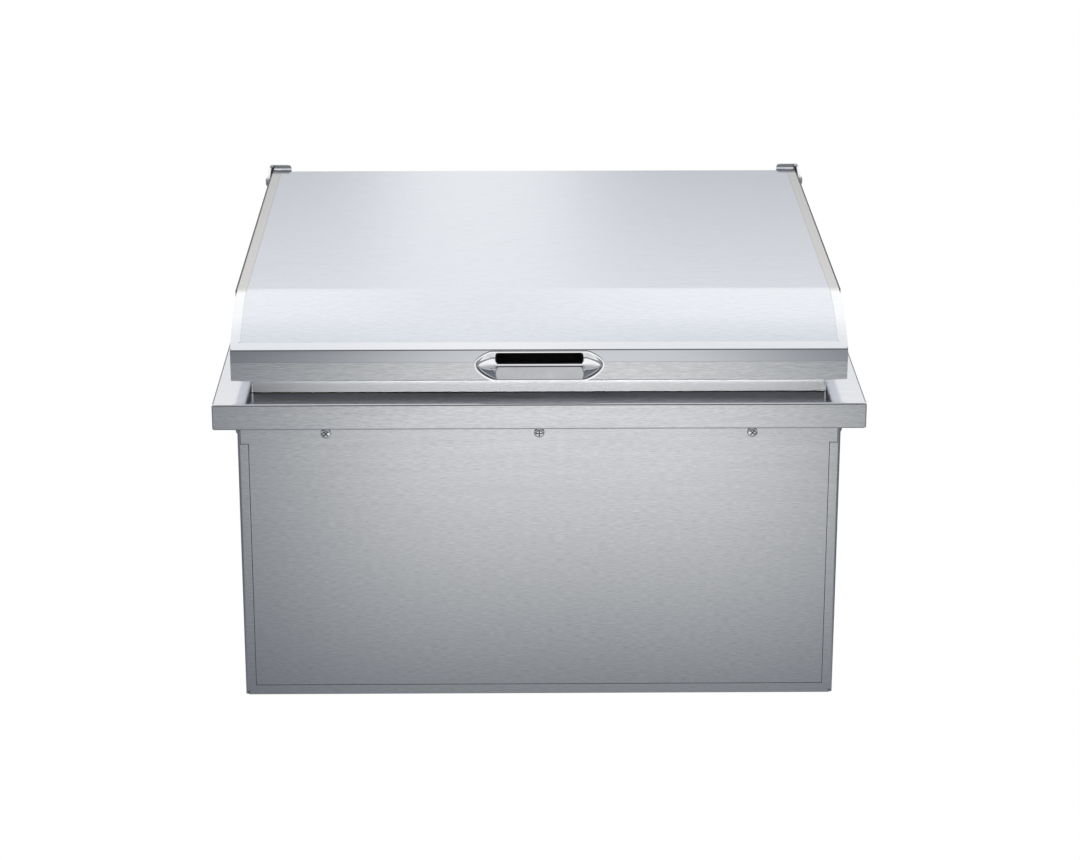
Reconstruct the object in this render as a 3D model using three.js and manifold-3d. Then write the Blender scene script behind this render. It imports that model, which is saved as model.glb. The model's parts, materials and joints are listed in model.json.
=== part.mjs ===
// A drop-in ice bin: an insulated stainless tub that hangs in a counter by a broad rim, under a hinged lid.
// Millimetres. X runs to the right, Y from the front to the rear, Z up from the flat bottom.
// Most pieces are bent sheets; u is the distance in from the rim's outer edge, on all four sides.

import * as THREE from 'three';
import { mergeVertices } from 'three/addons/utils/BufferGeometryUtils.js';
import Module from 'manifold-3d';

const wasm = await Module();
wasm.setup();

// Clearances
const gap = 0.3;
const overrun = 2;
const seam = 0.4;
const foamGap = 0.9;

// Rim that rests on the counter
const rimWidth = 610;
const rimDepth = 600;
const rimHeight = 303;
const rimSheet = 1.5;
const skirtDrop = 25.4;
const skirtReturn = 11;
const rimBend = 2;
const upstandBend = 0.2;

// Body below the counter
const bodyInset = 21;
const bodySheet = 1.2;
const bodyBend = 2.6;
const bodyFlange = 10;
const panelEarDrop = 46;
const mitreRelief = 1.3;

// Angle frame under the rim that the panels are screwed to
const frameSheet = 1.5;
const frameDrop = 50;
const frameLeg = 12;

// Liner with its raised collar
const collarInset = 35;
const collarRise = 24;
const ledgeWidth = 22;
const linerSheet = 1.2;
const linerBend = 2.4;
const floorRise = 45;
const floorFall = 6;
const coveRadius = 15;
const tubCorner = 25;
const sumpWidth = 96;
const sumpLip = 10;
const sheetCorner = 2;

// Drain in the middle of the floor
const drainOuter = 17;
const drainBore = 13.5;
const drainSeat = 15;
const drainFlange = 30;
const drainFlangeThick = 2;
const drainTailLift = 4;
const drainGasketThick = 2.5;
const drainNutAcross = 46;
const drainNutThick = 8;
const drainWell = 30;
const strainerThick = 1.5;
const strainerHole = 2.2;
const strainerRing = 8.6;
const strainerHoles = 7;

// Lid
const lidSideInset = 17.5;
const lidFrontInset = 15.5;
const lidRearInset = 25;
const bandBottom = 17.5;
const bandTop = 48;
const lidTop = 79;
const curveSlope = 34.5;
const slopeStraight = 1.3;
const lidSheet = 1.2;
const lidBend = 1.6;
const lidRearBend = 3;
const lidBorder = 9;
const lidReturn = 12;
const bandCorner = 2;
const panLift = 4;
const gasketWidth = 12;
const gasketCrown = 3;
const gasketCorner = 12;

// Handle
const handleSide = 19.5;
const handleTopSide = 3.5;
const handleBottomSide = 2;
const handleTop = 46.5;
const handleBottom = 17.8;
const handleMiddle = 33.7;
const handleProud = 20;
const handleEdge = 1;
const handleFlange = 1.2;
const gripSide = 1.5;
const gripTop = 39.6;
const gripBottom = 24.2;
const gripThick = 7.2;
const gripCorner = 2.6;
const gripRound = 2.4;
const recessWidth = 82;
const recessTop = 45.3;
const recessFloor = 31.4;
const recessCorner = 2.4;
const cupDepth = 15;
const cupWall = 1.5;
const cupInset = 1.3;
const handleScrewSide = 9;
const handleScrewDepth = 10;
const handleScrewRise = 36.5;
const creaseOutShare = 0.2;
const creaseRiseShare = 0.5;
const pullTopShare = 0.15;
const pullSideShare = 0.52;
const pullBottomShare = 0.2;

// Hinges at the rear corners of the lid
const pivotSetIn = 10;
const pivotSetDown = 10;
const armThick = 2;
const armRise = 8;
const armNose = 8.5;
const armEye = 9;
const bracketSheet = 2.5;
const bracketWidth = 24.7;
const bracketRise = 84;
const bracketBehind = 5;
const bracketFoot = 25;
const bracketCorner = 4;
const bracketToe = 14;
const boltShank = 3;
const boltHead = 5;
const boltHeadThick = 2.4;
const boltEdgeShare = 0.45;
const boltCrownShare = 0.6;
const bushWall = 1.2;
const nutAcross = 10;
const nutThick = 5;

// Screws
const screwShank = 2;
const screwHead = 5;
const screwHeadThick = 2.2;
const screwLength = 9;
const screwDrop = 35.5;
const screwSlot = 1.1;
const screwSlotDepth = 1.2;
const screwCrownShare = 0.7;
const screwRecessShare = 0.62;
const frontScrewSpread = 401;
const sideScrewSetBack = 15;
const footScrewSpread = 13;
const smallScrewHead = 4;

// Facets
const bendSteps = 3;
const curveSteps = 14;
const coveSteps = 5;
const cornerSteps = 4;
const roundSteps = 24;
const screwSteps = 8;
const hexSides = 6;
const lobeSteps = 5;
const outlineSteps = 6;

// Places that follow from the sizes above
const halfWidth = rimWidth / 2;
const halfDepth = rimDepth / 2;
const bodySide = halfWidth - bodyInset;
const bodyFront = bodyInset - halfDepth;
const frameInset = bodyInset + bodySheet + gap;
const linerInset = collarInset + ledgeWidth;
const sumpInset = Math.min(halfWidth, halfDepth) - sumpWidth / 2;
const sumpHeight = floorRise - floorFall;
const boardInset = frameInset + frameSheet + foamGap;
const boardStep = collarInset + linerSheet + gap + rimSheet + foamGap;
const boardShoulder = rimHeight - rimSheet - frameSheet - 3 * gap;
const lidSide = halfWidth - lidSideInset;
const lidFront = lidFrontInset - halfDepth;
const lidRear = halfDepth - lidRearInset;
const panBottom = collarRise + panLift;
const panTop = panBottom + lidSheet;
const rearWallBottom = panTop + gap;
const slopeAngle = THREE.MathUtils.degToRad(curveSlope);
const slopeLength = (lidTop - bandTop) / Math.sin(slopeAngle);
const curveRadius = (slopeLength - slopeStraight) / Math.tan(slopeAngle / 2);
const borderRun = lidBorder * Math.cos(slopeAngle);
const pivotY = lidRear - pivotSetIn;
const pivotZ = rimHeight + lidTop - pivotSetDown;
const armSide = lidSide + gap;
const earSide = armSide + armThick + seam;
const handleFace = lidFront - gap;
const handleOverhang = Math.max(0, handleProud - lidFrontInset + gap);

const steel = new THREE.MeshStandardMaterial({ color: 0xb9bdc2, roughness: 0.34, metalness: 1 });
const polished = new THREE.MeshStandardMaterial({ color: 0xd2d5da, roughness: 0.16, metalness: 1 });
const chrome = new THREE.MeshStandardMaterial({ color: 0xe4e6ea, roughness: 0.05, metalness: 1 });
const zinc = new THREE.MeshStandardMaterial({ color: 0x9aa0a6, roughness: 0.4, metalness: 1 });
const blackPlastic = new THREE.MeshStandardMaterial({ color: 0x0c0d0f, roughness: 0.55, metalness: 0 });
const rubber = new THREE.MeshStandardMaterial({ color: 0x3a3c40, roughness: 0.8, metalness: 0 });
const foam = new THREE.MeshStandardMaterial({ color: 0xe8dfc2, roughness: 0.95, metalness: 0 });
const nylon = new THREE.MeshStandardMaterial({ color: 0xd9d8d2, roughness: 0.5, metalness: 0 });

// Solids and meshes

function signedVolume(positions, index) {
  const corners = [new THREE.Vector3(), new THREE.Vector3(), new THREE.Vector3()];
  let total = 0;
  for (let i = 0; i < index.length; i += 3) {
    corners.forEach((corner, k) => corner.fromArray(positions, 3 * index[i + k]));
    total += corners[0].dot(corners[1].cross(corners[2])) / 6;
  }
  return total;
}

function solid(geometry) {
  const bare = geometry.clone();
  bare.deleteAttribute('normal');
  bare.deleteAttribute('uv');
  const merged = mergeVertices(bare);
  const vertProperties = merged.attributes.position.array;
  const triVerts = Uint32Array.from(merged.index.array);
  if (signedVolume(vertProperties, triVerts) < 0) {
    triVerts.reverse();
  }
  return new wasm.Manifold(new wasm.Mesh({ numProp: 3, vertProperties, triVerts }));
}

function mesh(name, body, material) {
  const data = body.getMesh();
  const geometry = new THREE.BufferGeometry();
  geometry.setAttribute('position', new THREE.BufferAttribute(Float32Array.from(data.vertProperties), 3));
  geometry.setIndex(new THREE.BufferAttribute(Uint32Array.from(data.triVerts), 1));
  geometry.computeVertexNormals();
  const made = new THREE.Mesh(geometry, material);
  made.name = name;
  return made;
}

function joined(bodies) {
  return bodies.reduce((sum, body) => sum.add(body));
}

function cut(body, tools) {
  return tools.reduce((rest, tool) => rest.subtract(tool), body);
}

function mirrored(body) {
  return body.mirror([1, 0, 0]);
}

// Extrusions along each axis. A section's points are (y, z) along X, (x, z) along Y and (x, y) along Z.

function shapeOf(points) {
  return new THREE.Shape(points.map((point) => new THREE.Vector2(point.x, point.y)));
}

function extruded(shape, length) {
  const settings = { depth: length, bevelEnabled: false, curveSegments: cornerSteps };
  return new THREE.ExtrudeGeometry(shape, settings);
}

function alongX(shape, from, to) {
  const turn = new THREE.Matrix4().set(0, 0, 1, from, 1, 0, 0, 0, 0, 1, 0, 0, 0, 0, 0, 1);
  return solid(extruded(shape, to - from).applyMatrix4(turn));
}

function alongY(shape, from, to) {
  const turn = new THREE.Matrix4().set(1, 0, 0, 0, 0, 0, -1, to, 0, 1, 0, 0, 0, 0, 0, 1);
  return solid(extruded(shape, to - from).applyMatrix4(turn));
}

function alongZ(shape, from, to) {
  return solid(extruded(shape, to - from).translate(0, 0, from));
}

function block(low, high) {
  const size = high.map((value, k) => value - low[k]);
  const middle = high.map((value, k) => (value + low[k]) / 2);
  return solid(new THREE.BoxGeometry(...size).translate(...middle));
}

function rectangle(x0, y0, x1, y1) {
  return shapeOf([{ x: x0, y: y0 }, { x: x1, y: y0 }, { x: x1, y: y1 }, { x: x0, y: y1 }]);
}

function roundedRectangle(x0, y0, x1, y1, radius) {
  const shape = new THREE.Shape();
  shape.moveTo(x0 + radius, y0);
  shape.lineTo(x1 - radius, y0);
  shape.absarc(x1 - radius, y0 + radius, radius, -Math.PI / 2, 0);
  shape.lineTo(x1, y1 - radius);
  shape.absarc(x1 - radius, y1 - radius, radius, 0, Math.PI / 2);
  shape.lineTo(x0 + radius, y1);
  shape.absarc(x0 + radius, y1 - radius, radius, Math.PI / 2, Math.PI);
  shape.lineTo(x0, y0 + radius);
  shape.absarc(x0 + radius, y0 + radius, radius, Math.PI, 3 * Math.PI / 2);
  return shape;
}

// Round solids: a profile of [radius, height] pairs turned about Z, then pointed along X, Y or Z.

function turned(profile, steps) {
  const points = profile.map(([radius, height]) => new THREE.Vector2(radius, height));
  const geometry = new THREE.LatheGeometry([...points, points[0].clone()], steps);
  return solid(geometry.rotateX(Math.PI / 2));
}

function rod(radius, low, high, steps) {
  return solid(new THREE.CylinderGeometry(radius, radius, high - low, steps)
    .rotateX(Math.PI / 2).translate(0, 0, (low + high) / 2));
}

function pointedX(body) {
  return body.rotate([0, 90, 0]);
}

function pointedFront(body) {
  return body.rotate([90, 0, 0]);
}

function pointedRear(body) {
  return body.rotate([-90, 0, 0]);
}

// The face that a bent sheet's path follows, each point with the direction to the right of the path.

function followed(path) {
  const face = [];
  path.forEach((point, i) => {
    const here = new THREE.Vector2(point.x, point.y);
    const before = path[i - 1];
    const after = path[i + 1];
    const into = before && here.clone().sub(before).normalize();
    const out = after && new THREE.Vector2(after.x, after.y).sub(here).normalize();
    if (!before || !after) {
      const along = into || out;
      face.push({ at: here, right: new THREE.Vector2(along.y, -along.x), corner: point.corner });
      return;
    }
    const turn = Math.atan2(into.cross(out), into.dot(out));
    const start = here.clone().addScaledVector(into, -point.bend * Math.tan(Math.abs(turn) / 2));
    const side = new THREE.Vector2(-into.y, into.x).multiplyScalar(Math.sign(turn));
    const centre = start.clone().addScaledVector(side, point.bend);
    const steps = point.steps || bendSteps;
    for (let s = 0; s <= steps; s += 1) {
      const angle = turn * s / steps;
      const along = into.clone().rotateAround(new THREE.Vector2(), angle);
      face.push({
        at: start.clone().rotateAround(centre, angle),
        right: new THREE.Vector2(along.y, -along.x),
        corner: point.corner,
      });
    }
  });
  return face;
}

function inside(path, distance) {
  return followed(path).map(({ at, right }) => at.clone().addScaledVector(right, distance));
}

function sheetSection(path, thickness) {
  return shapeOf([...followed(path).map(({ at }) => at), ...inside(path, thickness).reverse()]);
}

// A ring of points round a rectangle with round corners, at one height.

function cornerRing(halfX, halfY, radius, height) {
  const ring = [];
  [[1, 1], [-1, 1], [-1, -1], [1, -1]].forEach(([signX, signY], quarter) => {
    for (let s = 0; s <= cornerSteps; s += 1) {
      const angle = (quarter + s / cornerSteps) * Math.PI / 2;
      ring.push([
        signX * (halfX - radius) + radius * Math.cos(angle),
        signY * (halfY - radius) + radius * Math.sin(angle),
        height,
      ]);
    }
  });
  return ring;
}

// Rings of equal length joined each to the next: a closed loft joins the last to the first, and an open
// one is capped at both ends.

function loft(rings, closed) {
  const count = rings[0].length;
  const index = [];
  const spans = closed ? rings.length : rings.length - 1;
  for (let i = 0; i < spans; i += 1) {
    const next = (i + 1) % rings.length;
    for (let j = 0; j < count; j += 1) {
      const k = (j + 1) % count;
      index.push(i * count + j, i * count + k, next * count + k);
      index.push(i * count + j, next * count + k, next * count + j);
    }
  }
  if (!closed) {
    const last = (rings.length - 1) * count;
    for (let j = 1; j < count - 1; j += 1) {
      index.push(0, j + 1, j);
      index.push(last, last + j, last + j + 1);
    }
  }
  const geometry = new THREE.BufferGeometry();
  geometry.setAttribute('position', new THREE.Float32BufferAttribute(rings.flat(2), 3));
  geometry.setIndex(index);
  return solid(geometry);
}

// A bent sheet carried round all four sides of the bin. Its path's points are (u, height), each with the
// corner radius that it has in plan.

function sheetFrame(path, thickness) {
  const outer = followed(path);
  const inner = outer.map(({ at, right, corner }) => ({
    at: at.clone().addScaledVector(right, thickness),
    corner,
  }));
  const section = [...outer, ...inner.reverse()];
  const ringAt = ({ at, corner }) => cornerRing(halfWidth - at.x, halfDepth - at.x, corner, at.y);
  return loft(section.map(ringAt), true);
}

// Rim, angle frame and liner

function trimRim() {
  const upstand = collarInset + linerSheet + gap;
  const corner = sheetCorner;
  return sheetFrame([
    { x: skirtReturn, y: rimHeight - skirtDrop, corner },
    { x: 0, y: rimHeight - skirtDrop, bend: rimBend, corner },
    { x: 0, y: rimHeight, bend: rimBend, corner },
    { x: upstand, y: rimHeight, bend: upstandBend, corner },
    { x: upstand, y: rimHeight + collarRise - linerBend - gap, corner },
  ], rimSheet);
}

function bodyFrame() {
  const top = rimHeight - rimSheet - gap;
  const corner = sheetCorner;
  return sheetFrame([
    { x: frameInset, y: rimHeight - frameDrop, corner },
    { x: frameInset, y: top, bend: rimBend, corner },
    { x: frameInset + frameLeg, y: top, corner },
  ], frameSheet);
}

function liner() {
  const top = rimHeight + collarRise;
  const tub = sheetFrame([
    { x: collarInset, y: rimHeight + 2 * gap, corner: sheetCorner },
    { x: collarInset, y: top, bend: linerBend, corner: sheetCorner },
    { x: linerInset, y: top, bend: linerBend, corner: tubCorner },
    { x: linerInset, y: floorRise, bend: coveRadius, steps: coveSteps, corner: tubCorner },
    { x: sumpInset, y: sumpHeight, bend: coveRadius, corner: tubCorner },
    { x: sumpInset + sumpLip, y: sumpHeight, corner: tubCorner },
  ], linerSheet);
  const reach = sumpInset + sumpLip / 2;
  const sump = block(
    [reach - halfWidth, reach - halfDepth, sumpHeight - linerSheet],
    [halfWidth - reach, halfDepth - reach, sumpHeight],
  );
  return tub.add(sump).subtract(rod(drainOuter + gap, 0, floorRise, roundSteps));
}

// Body panels: flanged sides, a tray across the bottom and flat panels let in at the front and rear

function mitreTriangle(side) {
  const outer = side * (bodySide + overrun);
  const inner = side * (bodySide - bodyFlange);
  return [
    { x: outer, y: -overrun },
    { x: inner, y: bodyFlange },
    { x: outer, y: bodyFlange },
  ];
}

function atBothEnds(shape, depth) {
  const front = alongY(shape, bodyFront - overrun, bodyFront + depth);
  return front.add(front.mirror([0, 1, 0]));
}

function reliefHoles() {
  const place = bodySide - bodySheet - mitreRelief;
  const hole = pointedFront(rod(mitreRelief, 0, bodyBend + overrun, screwSteps));
  const lifted = hole.translate([place, bodyFront + bodyBend, mitreRelief + bodySheet]);
  return [lifted, lifted.mirror([0, 1, 0]), mirrored(lifted), mirrored(lifted.mirror([0, 1, 0]))];
}

function sidePanel() {
  const plan = [
    { x: bodySide - bodyFlange, y: -bodyFront },
    { x: bodySide, y: -bodyFront, bend: bodyBend },
    { x: bodySide, y: bodyFront, bend: bodyBend },
    { x: bodySide - bodyFlange, y: bodyFront },
  ];
  const sheet = alongZ(sheetSection(plan, bodySheet), 0, rimHeight - rimSheet - gap);
  const inner = bodySide - bodyFlange - overrun;
  const notch = rectangle(inner, rimHeight - panelEarDrop - seam, bodySide - bodyBend, rimHeight);
  const mitre = shapeOf([
    { x: inner, y: -overrun },
    { x: bodySide + overrun, y: -overrun },
    { x: inner, y: bodyFlange + overrun },
  ]);
  const tools = [
    atBothEnds(notch, bodySheet + gap),
    atBothEnds(mitre, bodySheet + gap),
    ...reliefHoles(),
    ...panelScrewHoles(),
  ];
  return cut(sheet, tools);
}

function bottomPan() {
  const halfX = bodySide - bodySheet - gap;
  const halfY = -bodyFront;
  const top = bodyFlange - seam;
  const inset = bodySheet;
  const corner = bodyBend + gap;
  const tray = loft([
    cornerRing(halfX - inset, halfY - inset, corner - inset, inset),
    cornerRing(halfX - inset, halfY - inset, corner - inset, top),
    cornerRing(halfX, halfY, corner, top),
    cornerRing(halfX, halfY, corner, 0),
  ], false);
  const well = rod(drainWell, -overrun, bodySheet + overrun, roundSteps);
  const corners = [1, -1].map((side) => atBothEnds(shapeOf(mitreTriangle(side)), bodySheet + gap));
  return cut(tray, [well, ...corners, ...reliefHoles()]);
}

function facePanel() {
  const top = rimHeight - rimSheet - gap;
  const wide = bodySide - bodyBend - gap;
  const narrow = bodySide - bodyFlange - seam;
  const ear = rimHeight - panelEarDrop;
  const sheet = alongY(shapeOf([
    { x: -narrow, y: bodyFlange },
    { x: narrow, y: bodyFlange },
    { x: narrow, y: ear },
    { x: wide, y: ear },
    { x: wide, y: top },
    { x: -wide, y: top },
    { x: -wide, y: ear },
    { x: -narrow, y: ear },
  ]), bodyFront, bodyFront + bodySheet);
  return cut(sheet, panelScrewHoles());
}

// Insulation boards between the liner and the panels

function boardSection() {
  const inner = linerInset - linerSheet - gap;
  const low = boardFoot();
  const high = rimHeight + collarRise - linerSheet - linerBend;
  return [
    [boardInset, low],
    [inner, low],
    [inner, high],
    [boardStep, high],
    [boardStep, boardShoulder],
    [boardInset, boardShoulder],
  ];
}

function boardFoot() {
  return sumpHeight - linerSheet - gap;
}

function frontBoard() {
  const half = halfWidth - boardInset;
  const section = boardSection().map(([u, z]) => ({ x: u - halfDepth, y: z }));
  const board = alongX(shapeOf(section), -half, half);
  const end = block(
    [halfWidth - boardStep, -halfDepth, boardShoulder],
    [halfWidth, 0, rimHeight + collarRise],
  );
  return cut(board, [end, mirrored(end), ...panelScrewHoles()]);
}

function sideBoard() {
  const half = halfDepth - linerInset + linerSheet;
  const section = boardSection().map(([u, z]) => ({ x: halfWidth - u, y: z }));
  return cut(alongY(shapeOf(section), -half, half), panelScrewHoles());
}

function bottomBoard() {
  const halfX = halfWidth - boardInset;
  const halfY = halfDepth - boardInset;
  const board = block([-halfX, -halfY, bodySheet + gap], [halfX, halfY, boardFoot() - gap]);
  return board.subtract(rod(drainWell, 0, rimHeight, roundSteps));
}

// Drain: a flanged tail through the floor, held by a nut under a gasket, with a strainer in its mouth

function drainBody() {
  const under = sumpHeight + gap;
  const top = under + drainFlangeThick;
  const seat = top - strainerThick - gap;
  return turned([
    [drainBore, drainTailLift],
    [drainOuter, drainTailLift],
    [drainOuter, under],
    [drainFlange, under],
    [drainFlange - drainFlangeThick / 2, top],
    [drainSeat, top],
    [drainSeat, seat],
    [drainBore, seat],
  ], roundSteps);
}

function drainStrainer() {
  const top = sumpHeight + gap + drainFlangeThick;
  const disc = rod(drainSeat - gap, top - strainerThick, top, roundSteps);
  const holes = [rod(strainerHole, 0, rimHeight, screwSteps)];
  for (let i = 0; i < strainerHoles; i += 1) {
    const angle = 2 * Math.PI * i / strainerHoles;
    holes.push(holes[0].translate([strainerRing * Math.cos(angle), strainerRing * Math.sin(angle), 0]));
  }
  return cut(disc, holes);
}

function drainGasket() {
  const top = sumpHeight - linerSheet - gap;
  return turned([
    [drainOuter + gap, top - drainGasketThick],
    [drainNutAcross / 2, top - drainGasketThick],
    [drainNutAcross / 2, top],
    [drainOuter + gap, top],
  ], roundSteps);
}

function drainNut() {
  const top = sumpHeight - linerSheet - drainGasketThick - 2 * gap;
  const hexagon = rod(drainNutAcross / Math.sqrt(3), top - drainNutThick, top, hexSides);
  return hexagon.subtract(rod(drainOuter + gap, 0, rimHeight, roundSteps));
}

// Screws: a pan head with a cross recess, pointing along -Z with the underside of the head at 0

function panHeadScrew(head, length) {
  const body = turned([
    [0, -length],
    [screwShank, -length],
    [screwShank, 0],
    [head, 0],
    [head * screwCrownShare, screwHeadThick],
    [0, screwHeadThick],
  ], screwSteps);
  const reach = head * screwRecessShare;
  const low = screwHeadThick - screwSlotDepth;
  const high = screwHeadThick + overrun;
  const slot = block([-reach, -screwSlot / 2, low], [reach, screwSlot / 2, high]);
  return cut(body, [slot, slot.rotate([0, 0, 90])]);
}

function faceScrewPlaces() {
  return [-1, 0, 1].map((share) => [share * frontScrewSpread / 2, bodyFront - gap]);
}

function sideScrewPlaces() {
  return [-1, 0, 1].map((share) => [bodySide + gap, share * (-bodyFront - sideScrewSetBack)]);
}

function faceScrews() {
  const screw = pointedFront(panHeadScrew(screwHead, screwLength));
  return faceScrewPlaces().map(([x, y]) => screw.translate([x, y, rimHeight - screwDrop]));
}

function sideScrews() {
  const screw = pointedX(panHeadScrew(screwHead, screwLength));
  return sideScrewPlaces().map(([x, y]) => screw.translate([x, y, rimHeight - screwDrop]));
}

function panelScrewHoles() {
  const hole = rod(screwShank + gap, -screwLength - gap, overrun, screwSteps);
  const height = rimHeight - screwDrop;
  const faces = faceScrewPlaces().map(([x, y]) => pointedFront(hole).translate([x, y, height]));
  const sides = sideScrewPlaces().map(([x, y]) => pointedX(hole).translate([x, y, height]));
  return [...faces, ...faces.map((body) => body.mirror([0, 1, 0])), ...sides, ...sides.map(mirrored)];
}

// Lid sheets, in section (y, z)

function slopeVertex() {
  const run = slopeLength * Math.cos(slopeAngle);
  return { x: lidFront + run, y: rimHeight + lidTop, bend: curveRadius, steps: curveSteps };
}

function crownPath(rearBottom) {
  return [
    { x: lidFront, y: rimHeight + bandTop },
    slopeVertex(),
    { x: lidRear, y: rimHeight + lidTop, bend: lidRearBend },
    { x: lidRear, y: rimHeight + rearBottom },
  ];
}

function yRange(from, to) {
  return block([-rimWidth, from, 0], [rimWidth, to, 2 * rimHeight]);
}

function lidSkin() {
  const path = crownPath(rearWallBottom);
  path[path.length - 1].bend = lidBend;
  path.push({ x: lidRear - lidReturn, y: rimHeight + rearWallBottom });
  const half = lidSide - lidBorder - gap;
  const sheet = alongX(sheetSection(path, lidSheet), -half, half);
  return sheet.subtract(yRange(lidFront - overrun, lidFront + borderRun + gap));
}

function mitreWedge(side) {
  const reach = lidBorder + overrun;
  const shape = shapeOf([
    { x: side * lidSide, y: lidFront },
    { x: side * (lidSide + reach), y: lidFront - reach },
    { x: side * (lidSide + reach), y: lidFront + reach },
    { x: side * (lidSide - reach), y: lidFront + reach },
  ]);
  return alongZ(shape, rimHeight + bandTop - lidBend, rimHeight + lidTop);
}

function frontBand() {
  const low = rimHeight + bandBottom;
  const path = [
    { x: lidFront + lidReturn, y: low },
    { x: lidFront, y: low, bend: lidBend },
    { x: lidFront, y: rimHeight + bandTop, bend: lidBend },
    { x: slopeVertex().x, y: slopeVertex().y },
  ];
  const sheet = alongX(sheetSection(path, lidSheet), -lidSide, lidSide);
  const face = roundedRectangle(-lidSide, low, lidSide, rimHeight + lidTop, bandCorner);
  const trimmed = sheet
    .intersect(alongY(face, lidFront - overrun, lidFront + lidBorder + lidReturn))
    .subtract(yRange(lidFront + borderRun, lidRear).intersect(block(
      [-rimWidth, -rimDepth, rimHeight + bandTop - overrun],
      [rimWidth, rimDepth, rimHeight + lidTop],
    )));
  const capInner = lidSide - lidSheet - gap;
  const clear = [1, -1].map((side) => block(
    [side > 0 ? capInner : -rimWidth, lidFront + lidSheet, 0],
    [side > 0 ? rimWidth : -capInner, lidRear, rimHeight + bandTop - 2 * lidSheet],
  ));
  const recess = recessOpening(cupWall + gap, lidFront - overrun, lidFront + lidSheet + gap);
  const hole = pointedFront(rod(screwShank + gap, -overrun, overrun, screwSteps));
  const screws = handleScrewPlaces().map((x) => hole.translate([x, lidFront, rimHeight + handleScrewRise]));
  return cut(trimmed, [mitreWedge(1), mitreWedge(-1), ...clear, recess, ...screws]);
}

function endCap() {
  const low = bandBottom;
  const path = crownPath(low);
  path[path.length - 1].bend = lidBend;
  path.push({ x: lidFront + lidReturn + gap, y: rimHeight + low });
  const flange = alongX(sheetSection(path, lidSheet), lidSide - lidBorder, lidSide);
  const outline = [...followed(crownPath(low)).map(({ at }) => at), { x: lidFront, y: rimHeight + low }];
  const plate = alongX(shapeOf(outline), lidSide - lidSheet, lidSide);
  const bendY = lidRear - lidBend;
  const bendZ = rimHeight + low + lidBend;
  const round = pointedX(rod(lidBend, 0, rimWidth, roundSteps)).translate([0, bendY, bendZ]);
  const bottomCorner = block([0, bendY, 0], [rimWidth, lidRear + overrun, bendZ]).subtract(round);
  const band = yRange(-rimDepth, lidFront + lidSheet + gap);
  const inner = alongZ(shapeOf([
    { x: 0, y: lidFront },
    { x: lidSide + gap, y: lidFront },
    { x: lidSide - borderRun - 2 * gap, y: lidFront + borderRun + 3 * gap },
    { x: 0, y: lidFront + borderRun + 3 * gap },
  ]), rimHeight + bandTop - lidBend, rimHeight + lidTop);
  const pivot = pivotHole(boltShank + bushWall + 2 * gap);
  return cut(flange.add(plate), [bottomCorner, band, inner, pivot]);
}

function innerPan() {
  const half = lidSide - lidSheet - gap;
  const foot = rimHeight + bandBottom + lidSheet + gap;
  const front = lidFront + lidSheet + gap;
  const top = rimHeight + panTop;
  const section = sheetSection([
    { x: -half, y: foot },
    { x: -half, y: top, bend: lidBend },
    { x: half, y: top, bend: lidBend },
    { x: half, y: foot },
  ], lidSheet);
  const tray = alongY(section, front, lidRear - lidSheet - gap);
  const lip = sheetSection([
    { x: front, y: foot },
    { x: front, y: top, bend: lidBend },
    { x: front + lidReturn, y: top },
  ], lidSheet);
  const rearClear = yRange(lidRear - lidReturn, halfDepth).intersect(
    block([-rimWidth, -rimDepth, 0], [rimWidth, rimDepth, rimHeight + panBottom - gap]),
  );
  return tray.add(alongX(lip, -half, half)).subtract(rearClear);
}

function lidFoam() {
  const low = rimHeight + panTop + gap;
  const inset = lidSheet + gap;
  const path = [
    { x: lidFront, y: low },
    { x: lidFront, y: rimHeight + bandTop, bend: lidBend },
    slopeVertex(),
    { x: lidRear, y: rimHeight + lidTop },
  ];
  const half = lidSide - inset;
  const filled = alongX(shapeOf([...inside(path, inset), { x: lidRear, y: low }]), -half, half)
    .subtract(yRange(lidRear - lidReturn - gap, rimDepth));
  const around = cupWall + gap;
  const cup = block(
    [-recessWidth / 2 - around, lidFront, 0],
    [recessWidth / 2 + around, lidFront + lidSheet + cupDepth + around, rimHeight + recessTop + around],
  );
  const head = pointedRear(rod(smallScrewHead + gap, 0, lidReturn, screwSteps));
  const heads = handleScrewPlaces().map((x) => head.translate([x, lidFront, rimHeight + handleScrewRise]));
  const nut = pointedX(rod(nutAcross, lidSide - lidReturn, lidSide, roundSteps))
    .translate([0, pivotY, pivotZ]);
  return cut(filled, [cup, ...heads, nut, mirrored(nut)]);
}

function lidGasket() {
  const low = rimHeight + collarRise + gap;
  const high = rimHeight + panBottom - gap;
  const inner = collarInset + (ledgeWidth + gasketWidth) / 2;
  const outer = inner - gasketWidth;
  const section = [
    [outer, high],
    [inner, high],
    [inner, low + gasketCrown / 2],
    [inner - gasketCrown, low],
    [outer + gasketCrown, low],
    [outer, low + gasketCrown / 2],
  ];
  return loft(section.map(([u, z]) => cornerRing(halfWidth - u, halfDepth - u, gasketCorner, z)), true);
}

// Handle: a cast pull over a moulded finger cup. From a thin flange on the band it rises in two lobes,
// creased along the top, to a grip bar with a rounded edge.

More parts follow.
